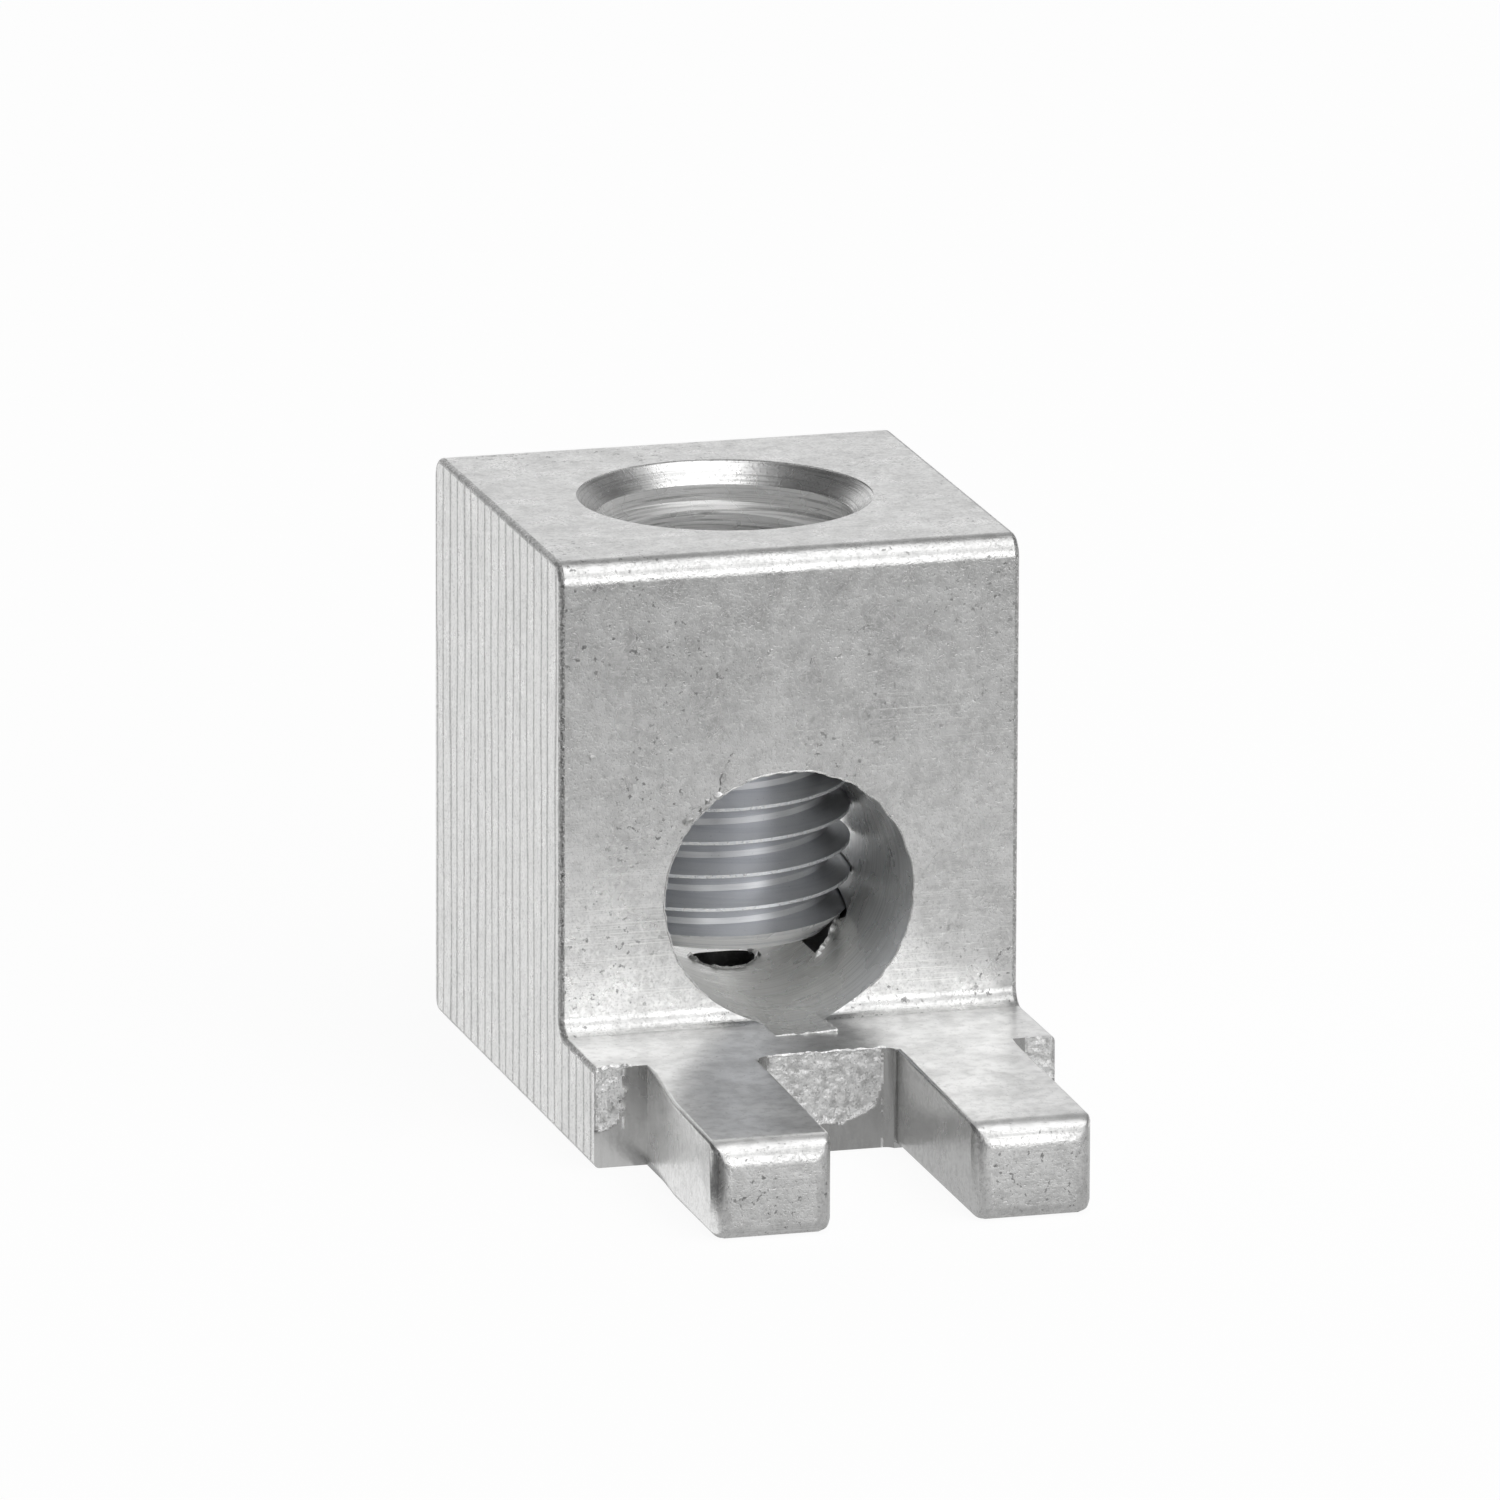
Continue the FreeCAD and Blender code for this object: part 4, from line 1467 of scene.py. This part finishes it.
    def _wire_drill(self) -> bmesh.types.BMesh:
        """Make the drill of the wire bore, which scores the foot in front of the block.

        Returns:
            The closed solid that the drill sweeps.
        """
        axis, edge = self.bore_height, self.bore_height + self.bore_radius
        start, end = self.front - self.groove_reach, self.back + self.margin
        first, last = self.front, self.back - self.bore_flare
        rings = 24
        points = [(0.0, start, axis), (0.0, start, edge)]
        points += [(0.0, first + (last - first) * ring / rings, edge) for ring in range(1, rings + 1)]
        points.append((0.0, self.back, edge + self.bore_flare))
        points.append((0.0, end, edge + self.bore_flare))
        points.append((0.0, end, axis))
        return MeshShop.turned(points, (0.0, 0.0, axis), (0.0, 1.0, 0.0), 160)

    def _screw_drill(self) -> bmesh.types.BMesh:
        """Make the drill and countersink of the screw's hole, with its pilot nose.

        Returns:
            The closed solid, its faces on the slots of DRILL_SKINS.
        """
        rim = self.height - self.rim_step
        foot = rim - self.countersink_radius + self.relief_radius
        ledge = (self.relief_radius - self.drill_radius) * math.tan(math.radians(self.ledge_angle))
        above = self.height + self.margin
        points = [
            (0.0, 0.0, self.pilot_tip),
            (self.pilot_radius, 0.0, self.pilot_shoulder),
            (self.pilot_radius, 0.0, self.drill_bottom),
            (self.drill_radius, 0.0, self.drill_bottom),
            (self.drill_radius, 0.0, self.relief_low - ledge),
            (self.relief_radius, 0.0, self.relief_low),
            (self.relief_radius, 0.0, foot),
            (self.countersink_radius, 0.0, rim),
            (self.countersink_radius, 0.0, above),
            (0.0, 0.0, above),
        ]
        bm = MeshShop.turned(points, (0.0, 0.0, 0.0), (0.0, 0.0, 1.0), 144)
        for face in bm.faces:
            skin = TAPPED_LIT if face.calc_center_median().z < foot else TURNED
            face.material_index = DRILL_SKINS.index(skin)
        return bm


@dataclass
class SetScrew:
    """The slotted set screw, in millimetres, run down to just above the floor of its hole."""

    bottom: float
    top: float
    thread: ThreadForm
    end_radius: float = 3.17
    top_chamfer: float = 0.5
    slot_width: float = 1.3
    slot_depth: float = 2.0
    sharp_angle: float = 26.0
    margin: float = 0.5

    def build(self) -> bpy.types.Object:
        """Make the screw.

        Returns:
            The dressed object, riding on the screw.
        """
        rod = MeshShop.threaded(self.thread, self.bottom - self.margin, self.top + self.margin)
        for face in rod.faces:
            reach = min(vert.co.xy.length for vert in face.verts)
            skin = CREST_HIGHLIGHT if reach > self.thread.crest_radius - WELD else PLATED
            face.material_index = ROD_SKINS.index(skin)
        piece = MeshShop.to_object(rod, "set_screw_dressed", ROD_SKINS)
        MeshShop.carve(piece, self._blank(), (TURNED_END_LIT,), Cut.COMMON)
        MeshShop.carve(piece, self._slot_saw(), (PLATED,))
        MeshShop.finish_piece(piece, math.radians(self.sharp_angle))
        return piece

    def _blank(self) -> bmesh.types.BMesh:
        """Turn the screw's outer shape with a chamfer at both ends.

        Returns:
            The closed solid that holds the screw's outside.
        """
        wide = self.thread.crest_radius + self.margin
        points = [
            (0.0, 0.0, self.bottom),
            (self.end_radius, 0.0, self.bottom),
            (wide, 0.0, self.bottom + wide - self.end_radius),
            (wide, 0.0, self.top - self.top_chamfer - self.margin),
            (wide - self.top_chamfer - self.margin, 0.0, self.top),
            (0.0, 0.0, self.top),
        ]
        return MeshShop.turned(points, (0.0, 0.0, 0.0), (0.0, 0.0, 1.0), 144)

    def _slot_saw(self) -> bmesh.types.BMesh:
        """Make the saw that cuts the screwdriver slot.

        Returns:
            The closed box that the saw sweeps.
        """
        bm = bmesh.new()
        bmesh.ops.create_cube(bm, size=1.0)
        reach = 2 * (self.thread.crest_radius + self.margin)
        bmesh.ops.scale(bm, vec=(reach, self.slot_width, 2 * self.slot_depth), verts=bm.verts)
        bmesh.ops.translate(bm, vec=(0.0, 0.0, self.top), verts=bm.verts)
        return bm


@dataclass
class Studio:
    """The pale floor, the soft lights and the camera."""

    heading: float = 15.8054
    elevation: float = 14.6546
    roll: float = 0.2197
    place: Point = (-0.15084, -0.53581, 0.15532)
    lens: float = 446.12
    sensor: float = 36.0
    floor_span: float = 6.0
    floor_drop: float = 0.00002
    floor_glow: float = 0.86
    floor_white: float = 1.07
    floor_reach: float = 70.0
    # Painted reflection: the floor's tone for metal by distance in front of the lug, with painted shade
    # from about 11 to 22 mm out.
    floor_tones: tuple[tuple[float, float], ...] = (
        (0.0, 0.95),
        (0.14, 0.95),
        (0.165, 0.5),
        (0.27, 0.5),
        (0.31, 0.48),
        (0.38, 0.56),
        (0.45, 0.76),
        (0.54, 0.71),
        (0.65, 0.46),
        (0.8, 0.3),
        (1.0, 0.26),
    )
    # Painted shade: for metal, the floor dims to this tone left of x = -7.4 mm and in front of y = -9.5 mm.
    floor_left_tone: float = 0.15
    floor_behind: float = -9.5
    floor_beside: float = 6.0
    floor_side_shift: float = 10.0
    floor_dark_from: float = 10.0
    floor_dark_until: float = 7.4
    over_tones: tuple[tuple[float, float], ...] = (
        (0.0, 0.72),
        (0.1, 0.77),
        (0.2, 0.36),
        (0.3, 0.22),
        (0.42, 0.24),
        (0.5, 0.46),
        (0.58, 0.68),
        (0.72, 0.64),
        (0.8, 0.75),
        (0.88, 1.0),
        (1.0, 1.0),
    )
    world_strength: float = 1.3
    left_tone: float = 0.22
    left_reach: tuple[float, float] = (-0.45, -0.12)
    right_tone: float = 0.4
    right_reach: tuple[float, float] = (0.36, 0.64)
    floor_colour: RGB = (0.82, 0.82, 0.82)
    floor_roughness: float = 0.9

    def build(self) -> None:
        """Set up floor, world, lamps and camera."""
        self._floor()
        self._world()
        self._lamps()
        self._camera()
        bpy.context.scene.view_settings.view_transform = "Standard"

    def _floor(self) -> None:
        """Lay a pale floor that keeps a faint shadow and shows metal a painted reflection, with painted
        shade near and left of the lug.
        """
        bm = bmesh.new()
        bmesh.ops.create_grid(bm, x_segments=1, y_segments=1, size=self.floor_span / 2)
        bmesh.ops.translate(bm, vec=(0.0, 0.0, -self.floor_drop), verts=bm.verts)
        mesh = bpy.data.meshes.new("floor")
        bm.to_mesh(mesh)
        bm.free()
        floor = bpy.data.objects.new("floor", mesh)
        bpy.context.scene.collection.objects.link(floor)
        material = bpy.data.materials.new("pale_floor")
        material.use_nodes = True
        tree = material.node_tree
        nodes, links = tree.nodes, tree.links
        matte = nodes["Principled BSDF"]
        matte.inputs["Base Color"].default_value = (*self.floor_colour, 1.0)
        matte.inputs["Roughness"].default_value = self.floor_roughness
        path = nodes.new("ShaderNodeLightPath").outputs
        split = nodes.new("ShaderNodeSeparateXYZ")
        links.new(nodes.new("ShaderNodeTexCoord").outputs["Object"], split.inputs["Vector"])
        ahead = nodes.new("ShaderNodeValToRGB")
        beside = Tones.step(tree, "LESS_THAN", split.outputs["X"], -self.floor_beside * MM)
        shift = self.floor_side_shift * MM
        shifted = Tones.step(tree, "MULTIPLY_ADD", beside, shift, split.outputs["Y"])
        links.new(Tones.step(tree, "DIVIDE", shifted, -self.floor_reach * MM), ahead.inputs["Fac"])
        self._fill_ramp(ahead.color_ramp, self.floor_tones)
        dark = (-self.floor_dark_from * MM, -self.floor_dark_until * MM)
        aside = Tones.fade(tree, split.outputs["X"], dark, (self.floor_left_tone, 1.0))
        behind = Tones.step(tree, "GREATER_THAN", split.outputs["Y"], self.floor_behind * MM)
        share = Tones.step(tree, "MAXIMUM", aside, behind)
        tone = Tones.step(tree, "MULTIPLY", ahead.outputs["Color"], share)
        # Camera rays see mostly even white over a faint real shadow; glossy and transmission rays see the
        # painted reflection.
        white = nodes.new("ShaderNodeEmission")
        white.inputs["Strength"].default_value = self.floor_white
        painted_reflection = nodes.new("ShaderNodeEmission")
        links.new(tone, painted_reflection.inputs["Strength"])
        seen = nodes.new("ShaderNodeMixShader")
        mirrored = nodes.new("ShaderNodeMixShader")
        camera_share = Tones.step(tree, "MULTIPLY", path["Is Camera Ray"], self.floor_glow)
        indirect = Tones.step(tree, "MAXIMUM", path["Is Glossy Ray"], path["Is Transmission Ray"])
        links.new(camera_share, seen.inputs["Fac"])
        links.new(matte.outputs["BSDF"], seen.inputs[1])
        links.new(white.outputs["Emission"], seen.inputs[2])
        links.new(indirect, mirrored.inputs["Fac"])
        links.new(seen.outputs["Shader"], mirrored.inputs[1])
        links.new(painted_reflection.outputs["Emission"], mirrored.inputs[2])
        links.new(mirrored.outputs["Shader"], nodes["Material Output"].inputs["Surface"])
        mesh.materials.append(material)

    def _world(self) -> None:
        """Light the scene from a pale studio: bright in front and overhead, darker high behind."""
        world = bpy.data.worlds.new("studio")
        world.use_nodes = True
        tree = world.node_tree
        nodes, links = tree.nodes, tree.links
        lit = nodes["Background"]
        split = nodes.new("ShaderNodeSeparateXYZ")
        links.new(nodes.new("ShaderNodeTexCoord").outputs["Generated"], split.inputs["Vector"])
        tilt = Tones.step(tree, "ARCTAN2", split.outputs["Z"], split.outputs["Y"])
        over = nodes.new("ShaderNodeValToRGB")
        links.new(Tones.step(tree, "DIVIDE", tilt, math.pi), over.inputs["Fac"])
        self._fill_ramp(over.color_ramp, self.over_tones)
        left = Tones.fade(tree, split.outputs["X"], self.left_reach, (self.left_tone, 1.0))
        dimmed = (self.world_strength, self.world_strength * self.right_tone)
        right = Tones.fade(tree, split.outputs["X"], self.right_reach, dimmed)
        strength = Tones.step(tree, "MULTIPLY", left, right)
        links.new(over.outputs["Color"], lit.inputs["Color"])
        links.new(strength, lit.inputs["Strength"])
        white = nodes.new("ShaderNodeBackground")
        white.inputs["Color"].default_value = (1.0, 1.0, 1.0, 1.0)
        white.inputs["Strength"].default_value = 1.0
        path = nodes.new("ShaderNodeLightPath")
        blend = nodes.new("ShaderNodeMixShader")
        links.new(path.outputs["Is Camera Ray"], blend.inputs["Fac"])
        links.new(lit.outputs["Background"], blend.inputs[1])
        links.new(white.outputs["Background"], blend.inputs[2])
        links.new(blend.outputs["Shader"], nodes["World Output"].inputs["Surface"])
        bpy.context.scene.world = world

    @staticmethod
    def _fill_ramp(ramp: bpy.types.ColorRamp, tones: tuple[tuple[float, float], ...]) -> None:
        """Give a colour ramp one grey for each place on it.

        Args:
            ramp: the ramp, as Blender makes it.
            tones: place from 0 to 1 and tone of each stop.
        """
        first, last = ramp.elements[0], ramp.elements[1]
        first.position, last.position = tones[0][0], tones[-1][0]
        first.color, last.color = (tones[0][1],) * 3 + (1.0,), (tones[-1][1],) * 3 + (1.0,)
        for position, tone in tones[1:-1]:
            ramp.elements.new(position).color = (tone, tone, tone, 1.0)

    def _lamps(self) -> None:
        """Hang the softboxes."""
        self._softbox("top_softbox", place=(0.12, -0.16, 0.58), target=(0.0, 0.0, 0.0), size=0.5, power=0.6)
        self._softbox(
            "front_softbox", place=(0.19, -0.6, 0.16), target=(0.0, 0.0, 0.006), size=0.3, power=0.3
        )

    def _softbox(self, name: str, place: Point, target: Point, size: float, power: float) -> None:
        """Hang one square area lamp.

        Args:
            name: the lamp's name.
            place: where it hangs, in metres.
            target: the point that it faces.
            size: its side, in metres.
            power: its power in watts.
        """
        lamp = bpy.data.lights.new(name, "AREA")
        lamp.shape = "SQUARE"
        lamp.size = size
        lamp.energy = power
        holder = bpy.data.objects.new(name, lamp)
        holder.location = place
        holder.rotation_euler = (Vector(target) - Vector(place)).to_track_quat("-Z", "Y").to_euler()
        bpy.context.scene.collection.objects.link(holder)

    def _camera(self) -> None:
        """Stand the camera where the photograph was taken from."""
        turn, tilt, roll = (math.radians(angle) for angle in (self.heading, self.elevation, self.roll))
        back = Vector((-math.sin(turn) * math.cos(tilt), -math.cos(turn) * math.cos(tilt), math.sin(tilt)))
        right = Vector((math.cos(turn), -math.sin(turn), 0.0))
        up = back.cross(right)
        across = math.cos(roll) * right + math.sin(roll) * up
        upright = math.cos(roll) * up - math.sin(roll) * right
        lens = bpy.data.cameras.new("camera")
        lens.sensor_width = self.sensor
        lens.lens = self.lens
        camera = bpy.data.objects.new("camera", lens)
        basis = Matrix((across, upright, back)).transposed().to_4x4()
        camera.matrix_world = Matrix.Translation(self.place) @ basis
        bpy.context.scene.collection.objects.link(camera)
        bpy.context.scene.camera = camera


def main() -> None:
    """Build the lug, the screw and the studio."""
    logging.basicConfig(level=logging.INFO, format="%(name)s %(message)s")
    low, high = (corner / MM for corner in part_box("lug_body"))
    screw_low, screw_high = (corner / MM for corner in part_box("set_screw"))
    bore = next(mount for mount in frame["record"]["mounts"] if mount["name"] == "wire_bore")
    heading = math.radians(-90 - Studio.heading)
    crest_place = 5.69
    hole = ThreadForm(3.98, root_radius=3.4, crest_flat=0.15, crest_place=crest_place, heading=heading)
    rod = ThreadForm(3.91, root_radius=3.25, crest_flat=0.1, crest_place=crest_place, heading=heading)
    lug = LugBody(
        half_width=high.x,
        tip=low.y,
        back=high.y,
        height=high.z,
        bore_radius=bore["dims"]["r_mm"],
        bore_height=bore["pos_m"][2] / MM,
        thread=hole,
    )
    block = lug.build()
    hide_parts("lug_body")
    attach(block, "lug")
    screw = SetScrew(bottom=screw_low.z, top=screw_high.z, thread=rod).build()
    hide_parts("set_screw")
    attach(screw, "screw")
    Studio().build()


if __name__ == "__main__":
    main()
